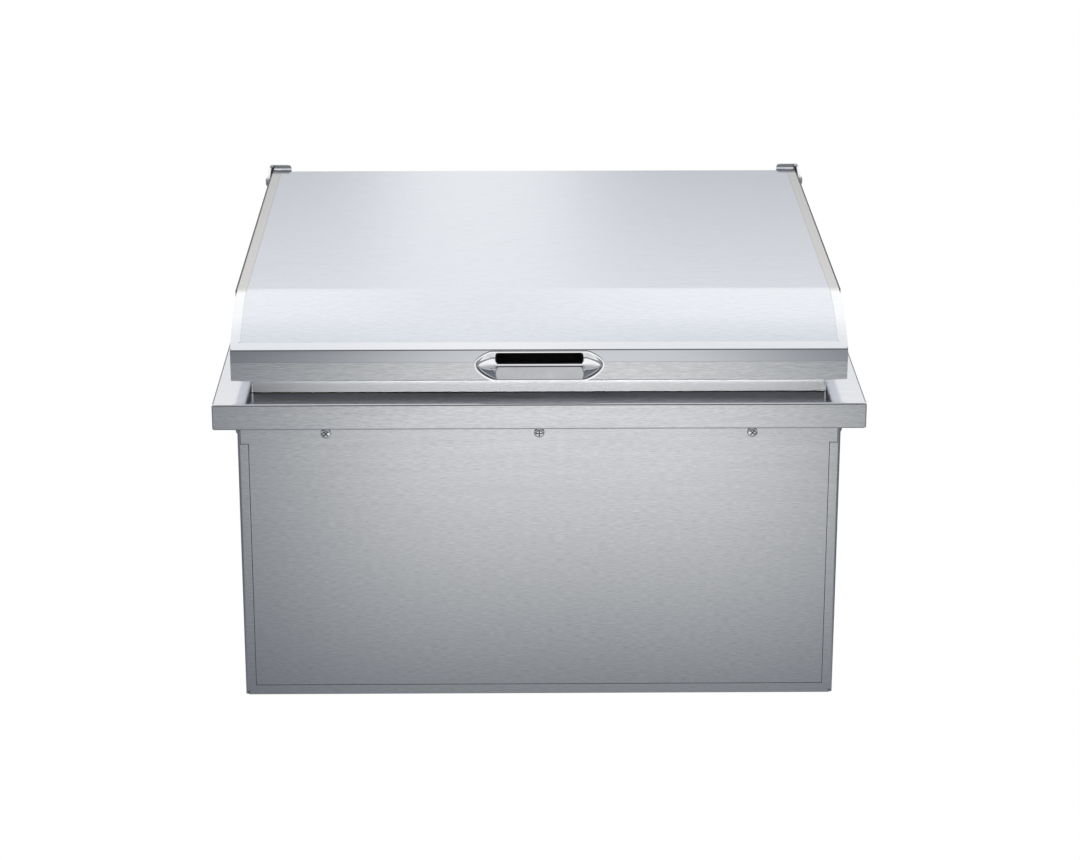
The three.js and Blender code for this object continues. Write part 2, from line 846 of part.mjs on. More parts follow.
function pullOutline(halfTop, halfWide, halfBottom, top, middle, bottom) {
  const upper = new THREE.CubicBezierCurve(
    new THREE.Vector2(halfTop, top),
    new THREE.Vector2(halfTop + (halfWide - halfTop) * pullTopShare, top),
    new THREE.Vector2(halfWide, middle + (top - middle) * pullSideShare),
    new THREE.Vector2(halfWide, middle),
  );
  const lower = new THREE.CubicBezierCurve(
    new THREE.Vector2(halfWide, middle),
    new THREE.Vector2(halfWide, middle + (bottom - middle) * pullSideShare),
    new THREE.Vector2(halfBottom + (halfWide - halfBottom) * pullBottomShare, bottom),
    new THREE.Vector2(halfBottom, bottom),
  );
  const right = [...upper.getPoints(outlineSteps), ...lower.getPoints(outlineSteps).slice(1)];
  const left = right.map((point) => new THREE.Vector2(-point.x, point.y)).reverse();
  return [...right, ...left];
}

// The cup's opening lies a little inside the pull's, so that its wall and the band's cut-out stay covered
function recessOpening(grow, from, to) {
  const half = recessWidth / 2 - cupInset + grow;
  const high = rimHeight + recessTop - cupInset + grow;
  const shape = roundedRectangle(-half, rimHeight + recessFloor - grow, half, high, recessCorner + grow);
  return alongY(shape, from, to);
}

function handleScrewPlaces() {
  const out = recessWidth / 2 + handleScrewSide;
  return [-out, out];
}

// One ring of the pull. Its sides, top and bottom lie at shares of the way from the grip to the flange.
function pullRing(depth, inset, sideShare, topShare, bottomShare) {
  const half = recessWidth / 2;
  const grip = half + gripSide;
  const between = (near, far, share) => near + (far - near) * share;
  const outline = pullOutline(
    between(grip - gripCorner, half + handleTopSide, sideShare) - inset,
    between(grip, half + handleSide, sideShare) - inset,
    between(grip - gripCorner, half + handleBottomSide, sideShare) - inset,
    between(gripTop, handleTop, topShare) - inset,
    between((gripTop + gripBottom) / 2, handleMiddle, sideShare),
    between(gripBottom, handleBottom, bottomShare) + inset,
  );
  return outline.map((point) => [point.x, handleFace - depth, rimHeight + point.y]);
}

function handle() {
  const rings = [pullRing(0, 0, 1, 1, 1), pullRing(handleEdge, 0, 1, 1, 1)];
  const rise = handleProud - gripRound - handleEdge;
  for (let s = 0; s <= lobeSteps; s += 1) {
    const out = s / lobeSteps;
    const above = creaseRiseShare * (1 - out) / (1 - creaseOutShare);
    const facet = 1 - (1 - creaseRiseShare) * out / creaseOutShare;
    const inset = handleFlange * (1 - out);
    rings.push(pullRing(handleEdge + rise * out, inset, 1 - out ** 2, Math.max(facet, above), 1 - out));
  }
  for (let s = 1; s <= bendSteps; s += 1) {
    const angle = s / bendSteps * Math.PI / 2;
    const inset = gripRound * (1 - Math.cos(angle));
    rings.push(pullRing(handleEdge + rise + gripRound * Math.sin(angle), inset, 0, 0, 0));
  }
  const behind = handleFace - handleProud + gripThick;
  const front = handleFace - handleProud - overrun;
  const half = recessWidth / 2;
  const low = rimHeight + gripBottom + gripCorner;
  const high = rimHeight + recessTop;
  const hollow = roundedRectangle(-half, low, half, high, recessCorner);
  const fingers = alongY(hollow, behind, handleFace + overrun);
  const notch = roundedRectangle(-half, rimHeight + gripTop, half, high, recessCorner);
  const above = alongY(notch, front, behind + overrun);
  const hole = pointedFront(rod(screwShank + gap, -overrun, handleScrewDepth, screwSteps));
  const height = rimHeight + handleScrewRise;
  const screws = handleScrewPlaces().map((x) => hole.translate([x, handleFace, height]));
  return cut(loft(rings, false), [fingers, above, ...screws]);
}

function handleCup() {
  const rear = lidFront + lidSheet + cupDepth;
  const shell = recessOpening(cupWall, lidFront, rear + cupWall);
  return shell.subtract(recessOpening(0, lidFront - overrun, rear));
}

function handleScrews() {
  const screw = pointedRear(panHeadScrew(smallScrewHead, screwLength));
  const seat = lidFront + lidSheet + gap;
  return handleScrewPlaces().map((x) => screw.translate([x, seat, rimHeight + handleScrewRise]));
}

// Hinges: an arm on each side of the lid turns on a bolt in a bracket that stands on the rim

function pivotHole(radius) {
  return pointedX(rod(radius, 0, rimWidth, roundSteps)).translate([0, pivotY, pivotZ]);
}

function pivotEye(from, to) {
  return pointedX(rod(armEye, from, to, roundSteps)).translate([0, pivotY, pivotZ]);
}

function hingeArm() {
  const front = slopeVertex().x + slopeLength - slopeStraight;
  const top = pivotZ + armRise;
  const bottom = pivotZ - armEye;
  const bar = alongX(shapeOf([
    { x: front, y: top },
    { x: front, y: top - armNose },
    { x: front + armEye, y: bottom },
    { x: pivotY, y: bottom },
    { x: pivotY, y: top },
  ]), armSide, armSide + armThick);
  const eye = pivotEye(armSide, armSide + armThick);
  return bar.add(eye).subtract(pivotHole(boltShank + bushWall + gap));
}

function hingeBracket() {
  const inner = earSide + bracketSheet - bracketWidth;
  const outer = earSide + bracketSheet;
  const legFront = lidRear + bracketBehind;
  const legRear = legFront + bracketSheet;
  const base = rimHeight + gap;
  const footFront = legRear + bracketToe - bracketFoot;
  const foot = alongZ(
    roundedRectangle(inner, footFront, outer, legRear + bracketToe, sheetCorner), base, base + bracketSheet,
  );
  const top = rimHeight + bracketRise;
  const legShape = new THREE.Shape();
  legShape.moveTo(inner, base);
  legShape.lineTo(outer, base);
  legShape.lineTo(outer, top - sheetCorner);
  legShape.absarc(outer - sheetCorner, top - sheetCorner, sheetCorner, 0, Math.PI / 2);
  legShape.lineTo(inner + bracketCorner, top);
  legShape.absarc(inner + bracketCorner, top - bracketCorner, bracketCorner, Math.PI / 2, Math.PI);
  const leg = alongY(legShape, legFront, legRear);
  const ear = alongX(shapeOf([
    { x: legRear, y: base },
    { x: legRear, y: top - sheetCorner },
    { x: legFront, y: top - sheetCorner },
    { x: pivotY, y: pivotZ + armEye },
    { x: pivotY - armEye, y: pivotZ },
    { x: footFront, y: base + bracketSheet },
    { x: footFront, y: base },
  ]), earSide, outer);
  const hole = rod(screwShank + gap, rimHeight, base + bracketToe, screwSteps);
  const screws = footScrewPlaces().map(([x, y]) => hole.translate([x, y, 0]));
  return cut(joined([foot, leg, ear, pivotEye(earSide, outer)]), [pivotHole(boltShank + gap), ...screws]);
}

function footScrewPlaces() {
  const middle = earSide + bracketSheet - bracketWidth / 2;
  const y = lidRear + bracketBehind + bracketSheet + bracketToe / 2;
  return [-1, 1].map((side) => [middle + side * footScrewSpread / 2, y]);
}

function footScrews() {
  const screw = panHeadScrew(smallScrewHead, screwLength);
  return footScrewPlaces().map(([x, y]) => screw.translate([x, y, rimHeight + bracketSheet + 2 * gap]));
}

function footScrewHoles() {
  const hole = rod(screwShank + gap, rimHeight - skirtDrop / 2, rimHeight + overrun, screwSteps);
  const right = footScrewPlaces().map(([x, y]) => hole.translate([x, y, 0]));
  return [...right, ...right.map(mirrored)];
}

function pivotBolt() {
  const under = earSide + bracketSheet + gap;
  const tip = lidSide - lidSheet - nutThick - 3 * gap;
  return pointedX(turned([
    [0, tip],
    [boltShank, tip],
    [boltShank, under],
    [boltHead, under],
    [boltHead, under + boltHeadThick * boltEdgeShare],
    [boltHead * boltCrownShare, under + boltHeadThick],
    [0, under + boltHeadThick],
  ], roundSteps)).translate([0, pivotY, pivotZ]);
}

function pivotBush() {
  const inner = boltShank + gap;
  const outer = boltShank + bushWall;
  return pointedX(turned([
    [inner, lidSide - lidSheet],
    [outer, lidSide - lidSheet],
    [outer, armSide + armThick],
    [inner, armSide + armThick],
  ], roundSteps)).translate([0, pivotY, pivotZ]);
}

function pivotNut() {
  const outer = lidSide - lidSheet - gap;
  const hexagon = rod(nutAcross / Math.sqrt(3), outer - nutThick, outer, hexSides);
  return pointedX(hexagon).translate([0, pivotY, pivotZ]).subtract(pivotHole(boltShank + gap));
}

// Assembly: the fixed cabinet and the lid, each a group; a pair is made once and mirrored

function pair(name, body, material) {
  return [mesh(`${name}_right`, body, material), mesh(`${name}_left`, mirrored(body), material)];
}

function numbered(name, bodies, material) {
  return bodies.map((body, i) => mesh(`${name}_${i + 1}`, body, material));
}

const front = facePanel();
const board = frontBoard();
const faces = faceScrews();
const sides = sideScrews();
const feet = footScrews();
const cabinet = new THREE.Group();
cabinet.add(
  mesh('trim_rim', cut(trimRim(), footScrewHoles()), steel),
  mesh('body_frame', cut(bodyFrame(), panelScrewHoles()), zinc),
  mesh('liner', liner(), steel),
  mesh('front_panel', front, steel),
  mesh('back_panel', front.mirror([0, 1, 0]), steel),
  ...pair('side_panel', sidePanel(), steel),
  mesh('bottom_pan', bottomPan(), steel),
  mesh('foam_front', board, foam),
  mesh('foam_back', board.mirror([0, 1, 0]), foam),
  ...pair('foam_side', sideBoard(), foam),
  mesh('foam_bottom', bottomBoard(), foam),
  ...numbered('front_screw', faces, polished),
  ...numbered('back_screw', faces.map((body) => body.mirror([0, 1, 0])), polished),
  ...numbered('side_screw_right', sides, polished),
  ...numbered('side_screw_left', sides.map(mirrored), polished),
  mesh('drain_body', drainBody(), polished),
  mesh('drain_strainer', drainStrainer(), polished),
  mesh('drain_gasket', drainGasket(), rubber),
  mesh('drain_nut', drainNut(), nylon),
  ...pair('hinge_bracket', hingeBracket(), chrome),
  ...numbered('bracket_screw_right', feet, polished),
  ...numbered('bracket_screw_left', feet.map(mirrored), polished),
  ...pair('pivot_bolt', pivotBolt(), polished),
  ...pair('pivot_nut', pivotNut(), zinc),
);

const lid = new THREE.Group();
lid.add(
  mesh('lid_skin', lidSkin(), steel),
  ...pair('lid_end_cap', endCap(), polished),
  mesh('lid_front_band', frontBand(), steel),
  mesh('lid_inner_pan', innerPan(), steel),
  mesh('lid_foam', lidFoam(), foam),
  mesh('lid_gasket', lidGasket(), rubber),
  mesh('handle', handle(), chrome),
  mesh('handle_cup', handleCup(), blackPlastic),
  ...numbered('handle_screw', handleScrews(), zinc),
  ...pair('hinge_arm', hingeArm(), zinc),
  ...pair('pivot_bush', pivotBush(), nylon),
);

const bin = new THREE.Group();
bin.add(cabinet, lid);
bin.position.y = handleOverhang / 2;

const part = new THREE.Group();
part.add(bin);

export default part;
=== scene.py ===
import json
import math
from collections import namedtuple

import bmesh
import bpy
from mathutils import Matrix, Vector

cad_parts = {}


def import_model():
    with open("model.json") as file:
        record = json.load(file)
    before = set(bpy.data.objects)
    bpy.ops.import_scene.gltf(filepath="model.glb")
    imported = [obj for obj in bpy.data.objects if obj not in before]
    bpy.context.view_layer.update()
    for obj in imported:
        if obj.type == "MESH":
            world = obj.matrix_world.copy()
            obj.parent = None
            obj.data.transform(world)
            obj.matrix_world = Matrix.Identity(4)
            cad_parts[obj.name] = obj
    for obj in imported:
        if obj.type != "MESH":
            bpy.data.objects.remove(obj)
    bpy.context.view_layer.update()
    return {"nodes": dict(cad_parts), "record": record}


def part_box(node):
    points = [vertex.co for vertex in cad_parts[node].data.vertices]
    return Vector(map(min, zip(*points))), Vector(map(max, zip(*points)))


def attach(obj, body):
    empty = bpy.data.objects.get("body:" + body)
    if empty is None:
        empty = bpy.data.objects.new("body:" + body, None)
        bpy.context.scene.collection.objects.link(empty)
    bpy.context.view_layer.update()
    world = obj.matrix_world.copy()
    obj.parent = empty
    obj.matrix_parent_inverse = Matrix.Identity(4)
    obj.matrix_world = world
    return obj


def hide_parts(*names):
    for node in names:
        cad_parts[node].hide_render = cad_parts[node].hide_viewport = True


# A drop-in ice bin in brushed steel. Metres; the front faces -Y and Z is up from the flat bottom.

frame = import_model()

# Places read from the CAD frame

RIM_LOW, RIM_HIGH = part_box("trim_rim")
BODY_LOW, BODY_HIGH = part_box("side_panel_right")
LID_LOW, LID_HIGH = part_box("lid_end_cap_right")
HANDLE_LOW, HANDLE_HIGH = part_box("handle")
HALF_X = RIM_HIGH.x
HALF_Y = (RIM_HIGH.y - RIM_LOW.y) / 2
MIDDLE_Y = (RIM_HIGH.y + RIM_LOW.y) / 2

# Sizes in metres

GAP = 0.0003
TIGHT = 0.00005
OVERRUN = 0.002
SEAM = 0.0004
SPAN = 0.5
MERGE_DISTANCE = 0.000001

SKIRT_DROP = 0.0254
SKIRT_RETURN = 0.011
RIM_SHEET = 0.0015
RIM_BEND = 0.002
RIM_CORNER = 0.0012
RIM_TOP = RIM_LOW.z + SKIRT_DROP

BODY_SHEET = 0.0012
BODY_BEND = 0.0026
BODY_FLANGE = 0.010
PANEL_EAR_DROP = 0.046
MITRE_RELIEF = 0.0013
BODY_SIDE = BODY_HIGH.x
BODY_FRONT = BODY_LOW.y - MIDDLE_Y

COLLAR_INSET = 0.035
COLLAR_RISE = 0.024
LEDGE_WIDTH = 0.022
LINER_SHEET = 0.0012
LINER_BEND = 0.0024
LINER_INSET = COLLAR_INSET + LEDGE_WIDTH
FLOOR_RISE = 0.045
FLOOR_FALL = 0.006
COVE_RADIUS = 0.015
TUB_CORNER = 0.025
SUMP_WIDTH = 0.096
SUMP_LIP = 0.010
SUMP_INSET = min(HALF_X, HALF_Y) - SUMP_WIDTH / 2
SUMP_HEIGHT = FLOOR_RISE - FLOOR_FALL
UPSTAND_INSET = COLLAR_INSET + LINER_SHEET + GAP

DRAIN_OUTER = 0.017
DRAIN_BORE = 0.0135
DRAIN_SEAT = 0.015
DRAIN_FLANGE = 0.030
DRAIN_FLANGE_THICK = 0.002
DRAIN_TAIL_LIFT = 0.004
DRAIN_WELL = 0.030
STRAINER_THICK = 0.0015
STRAINER_HOLE = 0.0022
STRAINER_RING = 0.0086
STRAINER_HOLES = 7
STRAINER_EDGE = 0.0002

LID_SIDE = LID_HIGH.x
LID_FRONT = LID_LOW.y - MIDDLE_Y - BODY_SHEET - GAP
LID_REAR = LID_HIGH.y - MIDDLE_Y
LID_TOP = LID_HIGH.z
LID_SHEET = 0.0012
LID_BEND = 0.0016
LID_REAR_BEND = 0.003
LID_BORDER = 0.009
LID_RETURN = 0.012
LID_EDGE = 0.00015
BAND_LOW = LID_LOW.z
BAND_TOP = RIM_TOP + 0.048
BAND_CORNER = 0.002
BAND_EDGE = 0.0003
CURVE_SLOPE = math.radians(34.5)
SLOPE_STRAIGHT = 0.0013
SLOPE_LENGTH = (LID_TOP - BAND_TOP) / math.sin(CURVE_SLOPE)
CURVE_RADIUS = (SLOPE_LENGTH - SLOPE_STRAIGHT) / math.tan(CURVE_SLOPE / 2)
SLOPE_RUN = SLOPE_LENGTH * math.cos(CURVE_SLOPE)
BORDER_RUN = LID_BORDER * math.cos(CURVE_SLOPE)
PAN_BOTTOM = RIM_TOP + COLLAR_RISE + 0.004
PAN_TOP = PAN_BOTTOM + LID_SHEET
GASKET_WIDTH = 0.012
GASKET_CORNER = 0.012
GASKET_POWER = 0.5

RECESS_HALF = 0.041
RECESS_TOP = RIM_TOP + 0.0453
RECESS_FLOOR = RIM_TOP + 0.0314
RECESS_CORNER = 0.0024
CUP_DEPTH = 0.015
CUP_WALL = 0.0015
CUP_INSET = 0.0013
HANDLE_HALVES = (RECESS_HALF + 0.0035, HANDLE_HIGH.x, RECESS_HALF + 0.002)
HANDLE_TOP = HANDLE_HIGH.z
HANDLE_MIDDLE = RIM_TOP + 0.0337
HANDLE_BOTTOM = HANDLE_LOW.z
HANDLE_PROUD = HANDLE_HIGH.y - HANDLE_LOW.y
HANDLE_EDGE = 0.001
HANDLE_FLANGE = 0.0012
GRIP_CORNER = 0.0026
GRIP_ROUND = 0.0024
GRIP_HALF = RECESS_HALF + 0.0015
GRIP_HALVES = (GRIP_HALF - GRIP_CORNER, GRIP_HALF, GRIP_HALF - GRIP_CORNER)
GRIP_TOP = RIM_TOP + 0.0396
GRIP_BOTTOM = RIM_TOP + 0.0242
GRIP_THICK = 0.0072
CREASE_OUT_SHARE = 0.2
CREASE_RISE_SHARE = 0.5
PULL_TOP_SHARE = 0.15
PULL_SIDE_SHARE = 0.52
PULL_BOTTOM_SHARE = 0.2
PULL_EDGE = 0.0003

PIVOT_SET_IN = 0.010
PIVOT_SET_DOWN = 0.010
PIVOT_Y = LID_REAR - PIVOT_SET_IN
PIVOT_Z = LID_TOP - PIVOT_SET_DOWN
ARM_THICK = 0.002
ARM_SIDE = LID_SIDE + GAP
EAR_SIDE = ARM_SIDE + ARM_THICK + SEAM
EYE_RADIUS = 0.009
BRACKET_SHEET = 0.0025
BRACKET_WIDTH = 0.0247
BRACKET_TOP = RIM_TOP + 0.084
BRACKET_BEHIND = 0.005
BRACKET_FOOT = 0.025
BRACKET_TOE = 0.014
BRACKET_CORNER = 0.004
BRACKET_EDGE = 0.0005
FOOT_CORNER = 0.002

SCREW_HEAD = 0.005
SMALL_HEAD = 0.004
SCREW_SHANK = 0.002
SCREW_LENGTH = 0.008
SCREW_RISE = 0.0022
SCREW_SLOT = 0.0011
SCREW_SLOT_DEPTH = 0.0013
CROWN_POWER = 0.7
SCREW_SLOT_REACH = 0.62
PAN_TWIST = math.radians(40)
PAN_TWIST_STEP = math.radians(50)
PAN_TWIST_ROW = math.radians(11)
SMALL_TWIST = math.radians(30)
SMALL_TWIST_STEP = math.radians(40)
PANEL_SCREWS = 3
BRACKET_SCREWS = 2

# Facets, edges and shading

BEND_STEPS = 8
CORNER_STEPS = 6
ROUND_STEPS = 48
COVE_STEPS = 12
CURVE_STEPS = 48
RELIEF_STEPS = 24
HOLE_STEPS = 20
SCREW_STEPS = 40
CROWN_STEPS = 12
GASKET_STEPS = 12
PULL_STEPS = 16
LOBE_STEPS = 30
GRIP_STEPS = 8
EDGE = 0.00025
EDGE_SEGMENTS = 2
EDGE_ANGLE = math.radians(40)
SHARP_ANGLE = math.radians(30)
FACE_WEIGHT = 80
FACING_SHARE = 0.7

# Sheets and solids. A path's corner has a place, a bend radius, facets and a corner radius in plan.

Corner = namedtuple("Corner", "x y bend steps round", defaults=(0, BEND_STEPS, 0))


def followed(path):
    """The points of a bent sheet's face, each with the direction to its right and its corner radius."""
    face = []
    for i, corner in enumerate(path):
        here = Vector((corner.x, corner.y))
        into = (here - Vector(path[i - 1][:2])).normalized() if i else None
        out = (Vector(path[i + 1][:2]) - here).normalized() if i + 1 < len(path) else None
        if into is None or out is None:
            along = into or out
            face.append((here, Vector((along.y, -along.x)), corner.round))
            continue
        turn = math.atan2(into.x * out.y - into.y * out.x, into.dot(out))
        start = here - into * corner.bend * math.tan(abs(turn) / 2)
        centre = start + Vector((-into.y, into.x)) * math.copysign(corner.bend, turn)
        for step in range(corner.steps + 1):
            spin = Matrix.Rotation(turn * step / corner.steps, 2)
            along = spin @ into
            face.append((centre + spin @ (start - centre), Vector((along.y, -along.x)), corner.round))
    return face


def sheet_section(path, thickness):
    outer = followed(path)
    return [at for at, _, _ in outer] + [at + right * thickness for at, right, _ in reversed(outer)]


def rounded_rectangle(x0, y0, x1, y1, radius):
    points = []
    for cx, cy, quarter in ((x1, y0, 3), (x1, y1, 0), (x0, y1, 1), (x0, y0, 2)):
        centre_x = cx + math.copysign(radius, (x0 + x1) / 2 - cx)
        centre_y = cy + math.copysign(radius, (y0 + y1) / 2 - cy)
        for step in range(CORNER_STEPS + 1):
            angle = (quarter + step / CORNER_STEPS) * math.pi / 2
            points.append((centre_x + radius * math.cos(angle), centre_y + radius * math.sin(angle)))
    return points


def circle(x, y, radius, steps=ROUND_STEPS):
    turn = 2 * math.pi / steps
    return [(x + radius * math.cos(turn * i), y + radius * math.sin(turn * i)) for i in range(steps)]


PLACES = {
    "X": lambda point, along: (along, point[0], point[1]),
    "Y": lambda point, along: (point[0], along, point[1]),
    "Z": lambda point, along: (point[0], point[1], along),
}


def lofted(rings, closed):
    """Rings of equal length joined each to the next. A closed loft joins the last to the first."""
    bm = bmesh.new()
    rows = [[bm.verts.new(point) for point in ring] for ring in rings]
    count = len(rows[0])
    following = rows[1:] + rows[:1] if closed else rows[1:]
    for row, after in zip(rows, following):
        for i in range(count):
            k = (i + 1) % count
            bm.faces.new((row[i], row[k], after[k], after[i]))
    if not closed:
        bm.faces.new(rows[0][::-1])
        bm.faces.new(rows[-1])
    bmesh.ops.recalc_face_normals(bm, faces=bm.faces[:])
    return bm


def prism(outline, axis, low, high):
    """An outline carried along an axis, of (y, z) along X, (x, z) along Y or (x, y) along Z."""
    place = PLACES[axis]
    return lofted([[place(point, end) for point in outline] for end in (low, high)], False)


def block(low, high):
    outline = [(low[0], low[1]), (high[0], low[1]), (high[0], high[1]), (low[0], high[1])]
    return prism(outline, "Z", low[2], high[2])


def corner_ring(half_x, half_y, radius, height):
    return [(x, y, height) for x, y in rounded_rectangle(-half_x, -half_y, half_x, half_y, radius)]


def sheet_frame(path, thickness):
    """A bent sheet carried round all four sides. Its path is of (inset from the rim's edge, height)."""
    outer = followed(path)
    section = [(at, corner) for at, _, corner in outer]
    section += [(at + right * thickness, corner) for at, right, corner in reversed(outer)]
    rings = [corner_ring(HALF_X - at.x, HALF_Y - at.x, corner, at.y) for at, corner in section]
    return lofted(rings, True)


def turned(profile, steps=ROUND_STEPS):
    """A closed profile of (radius, height) points turned about Z. Points on the axis are joined."""
    rings = []
    for i in range(steps):
        angle = 2 * math.pi * i / steps
        rings.append([(r * math.cos(angle), r * math.sin(angle), z) for r, z in profile])
    bm = lofted(rings, True)
    bmesh.ops.remove_doubles(bm, verts=bm.verts[:], dist=MERGE_DISTANCE)
    bmesh.ops.recalc_face_normals(bm, faces=bm.faces[:])
    return bm


def placed(name, data):
    """An object in the scene for a mesh, a lamp or a camera."""
    obj = bpy.data.objects.new(name, data)
    bpy.context.scene.collection.objects.link(obj)
    return obj


def meshed(name, bm):
    """The mesh of a bmesh, which is used up."""
    mesh = bpy.data.meshes.new(name)
    bm.to_mesh(mesh)
    bm.free()
    return mesh


def together(*parts):
    """Several bodies in one bmesh."""
    whole = bmesh.new()
    for part in parts:
        mesh = meshed("part", part)
        whole.from_mesh(mesh)
        bpy.data.meshes.remove(mesh)
    return whole


def moved(bm, matrix):
    bmesh.ops.transform(bm, matrix=matrix, verts=bm.verts[:])
    if matrix.determinant() < 0:
        bmesh.ops.reverse_faces(bm, faces=bm.faces[:])
    return bm


def mirrored_copy(bm, axis):
    scale = Matrix.Diagonal([-1 if name == axis else 1 for name in "XYZ"] + [1])
    return moved(bm.copy(), scale)


def combined(bm, tools, operation):
    base = placed("base", meshed("base", bm))
    helpers = [placed("tool", meshed("tool", tool)) for tool in tools]
    for helper in helpers:
        modifier = base.modifiers.new("cut", "BOOLEAN")
        modifier.operation = operation
        modifier.solver = "EXACT"
        modifier.object = helper
    result = bmesh.new()
    result.from_object(base, bpy.context.evaluated_depsgraph_get())
    for obj in [base, *helpers]:
        mesh = obj.data
        bpy.data.objects.remove(obj)
        bpy.data.meshes.remove(mesh)
    return result


def cut(bm, *tools):
    return combined(bm, tools, "DIFFERENCE")


def kept(bm, *tools):
    return combined(bm, tools, "INTERSECT")


def joined(bm, *tools):
    return combined(bm, tools, "UNION")


def link(name, mesh, body, nodes, edge, matrix=None):
    obj = placed(name, mesh)
    if matrix is not None:
        obj.matrix_world = matrix
    if edge:
        bevel = obj.modifiers.new("edge", "BEVEL")
        bevel.width = edge
        bevel.segments = EDGE_SEGMENTS
        bevel.limit_method = "ANGLE"
        bevel.angle_limit = EDGE_ANGLE
    flat = obj.modifiers.new("flat", "WEIGHTED_NORMAL")
    flat.weight = FACE_WEIGHT
    flat.keep_sharp = True
    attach(obj, body)
    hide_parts(*nodes)
    return obj


def smooth_mesh(name, bm, materials, facing):
    """A mesh in one or more finishes. The last of them are for the faces that look along each axis."""
    mesh = meshed(name, bm)
    for material in materials:
        mesh.materials.append(material)
    for face in mesh.polygons:
        for number, axis in enumerate(facing, start=len(materials) - len(facing)):
            if abs(face.normal["XYZ".index(axis)]) > FACING_SHARE:
                face.material_index = number
    mesh.shade_smooth()
    mesh.set_sharp_from_angle(angle=SHARP_ANGLE)
    return mesh


def piece(name, bm, materials, body, slot, *nodes, edge=EDGE, facing="X"):
    """A piece of the object, in place of the CAD nodes that it is named with."""
    moved(bm, Matrix.Translation((0, MIDDLE_Y, 0)))
    return link(name, smooth_mesh(name, bm, materials, facing), body, nodes, edge)


def both_sides(name, right, materials, body, slot, node, edge=EDGE):
    """A piece of the right side and its mirror image on the left."""
    sides = {"right": right, "left": mirrored_copy(right, "X")}
    for side, bm in sides.items():
        piece(f"{name}_{side}", bm, materials, body, slot, f"{node}_{side}", edge=edge)


# Materials. The scales of their grain are per metre.

GRAIN = 125
ACROSS = 1150
STREAK_LENGTH = 12
STREAK_WIDTH = 5
GRAIN_DEPTH = 0.00012
SPREAD = 0.6
CLOUD = 60
CLOUD_DEPTH = 0.0002
CLOUD_DARK = 0.97
GRIT_STRENGTH = 0.5
ROUGH_LOW = 0.9
ROUGH_HIGH = 1.15
GRIT_HIGH = 1.1
NOISE_LOW = 0.3
NOISE_HIGH = 0.7


def nodes_of(name):
    material = bpy.data.materials.new(name)
    material.use_nodes = True
    tree = material.node_tree
    return material, tree, tree.nodes["Principled BSDF"]


def feed(tree, socket, term):
    """Gives a socket a number, a colour or another node's output."""
    if isinstance(term, bpy.types.NodeSocket):
        tree.links.new(term, socket)
    elif isinstance(term, (int, float)):
        socket.default_value = term
    else:
        socket.default_value = (*term, 1)


def maths(tree, operation, first, second):
    """The result of a sum. Each of its two terms is a number or another node's output."""
    node = tree.nodes.new("ShaderNodeMath")
    node.operation = operation
    feed(tree, node.inputs[0], first)
    feed(tree, node.inputs[1], second)
    return node.outputs["Value"]


def rescaled(tree, value, from_low, from_high, to_low=0, to_high=1):
    """A value taken from one range to another, and held at its ends."""
    node = tree.nodes.new("ShaderNodeMapRange")
    node.inputs["From Min"].default_value = from_low
    node.inputs["From Max"].default_value = from_high
    node.inputs["To Min"].default_value = to_low
    node.inputs["To Max"].default_value = to_high
    tree.links.new(value, node.inputs["Value"])
    return node.outputs["Result"]


def ranged(tree, noise, low, high):
    return rescaled(tree, noise, NOISE_LOW, NOISE_HIGH, low, high)


def mixed(tree, share, first, second):
    """A colour some share of the way from one to another."""
    mix = tree.nodes.new("ShaderNodeMix")
    mix.data_type = "RGBA"
    feed(tree, mix.inputs["Factor"], share)
    feed(tree, mix.inputs["A"], first)
    feed(tree, mix.inputs["B"], second)
    return mix.outputs["Result"]


def separated(tree, vector):
    """The X, Y and Z of a vector."""
    axes = tree.nodes.new("ShaderNodeSeparateXYZ")
    tree.links.new(vector, axes.inputs["Vector"])
    return axes.outputs


def scaled_noise(tree, scale, detail, rough=0.5):
    """Noise over the object's own place, stretched by a scale for each axis, per metre."""
    place = tree.nodes.new("ShaderNodeTexCoord")
    stretch = tree.nodes.new("ShaderNodeMapping")
    stretch.inputs["Scale"].default_value = scale
    noise = tree.nodes.new("ShaderNodeTexNoise")
    noise.inputs["Scale"].default_value = 1
    noise.inputs["Detail"].default_value = detail
    noise.inputs["Roughness"].default_value = rough
    tree.links.new(place.outputs["Object"], stretch.inputs["Vector"])
    tree.links.new(stretch.outputs["Vector"], noise.inputs["Vector"])
    return noise.outputs["Fac"]


def bumped(tree, shader, value, strength, depth):
    bump = tree.nodes.new("ShaderNodeBump")
    bump.inputs["Strength"].default_value = strength
    bump.inputs["Distance"].default_value = depth
    tree.links.new(value, bump.inputs["Height"])
    tree.links.new(bump.outputs["Normal"], shader.inputs["Normal"])


def steel(tree, shader, axis, spread):
    """Metal whose reflections spread across its grain: up and down, and along Y if it runs along X."""
    across = tree.nodes.new("ShaderNodeCombineXYZ")
    across.inputs["Y"].default_value = 1 if axis == "X" else 0
    across.inputs["Z"].default_value = 1
    tree.links.new(across.outputs["Vector"], shader.inputs["Tangent"])
    shader.inputs["Metallic"].default_value = 1
    shader.inputs["Anisotropic"].default_value = spread


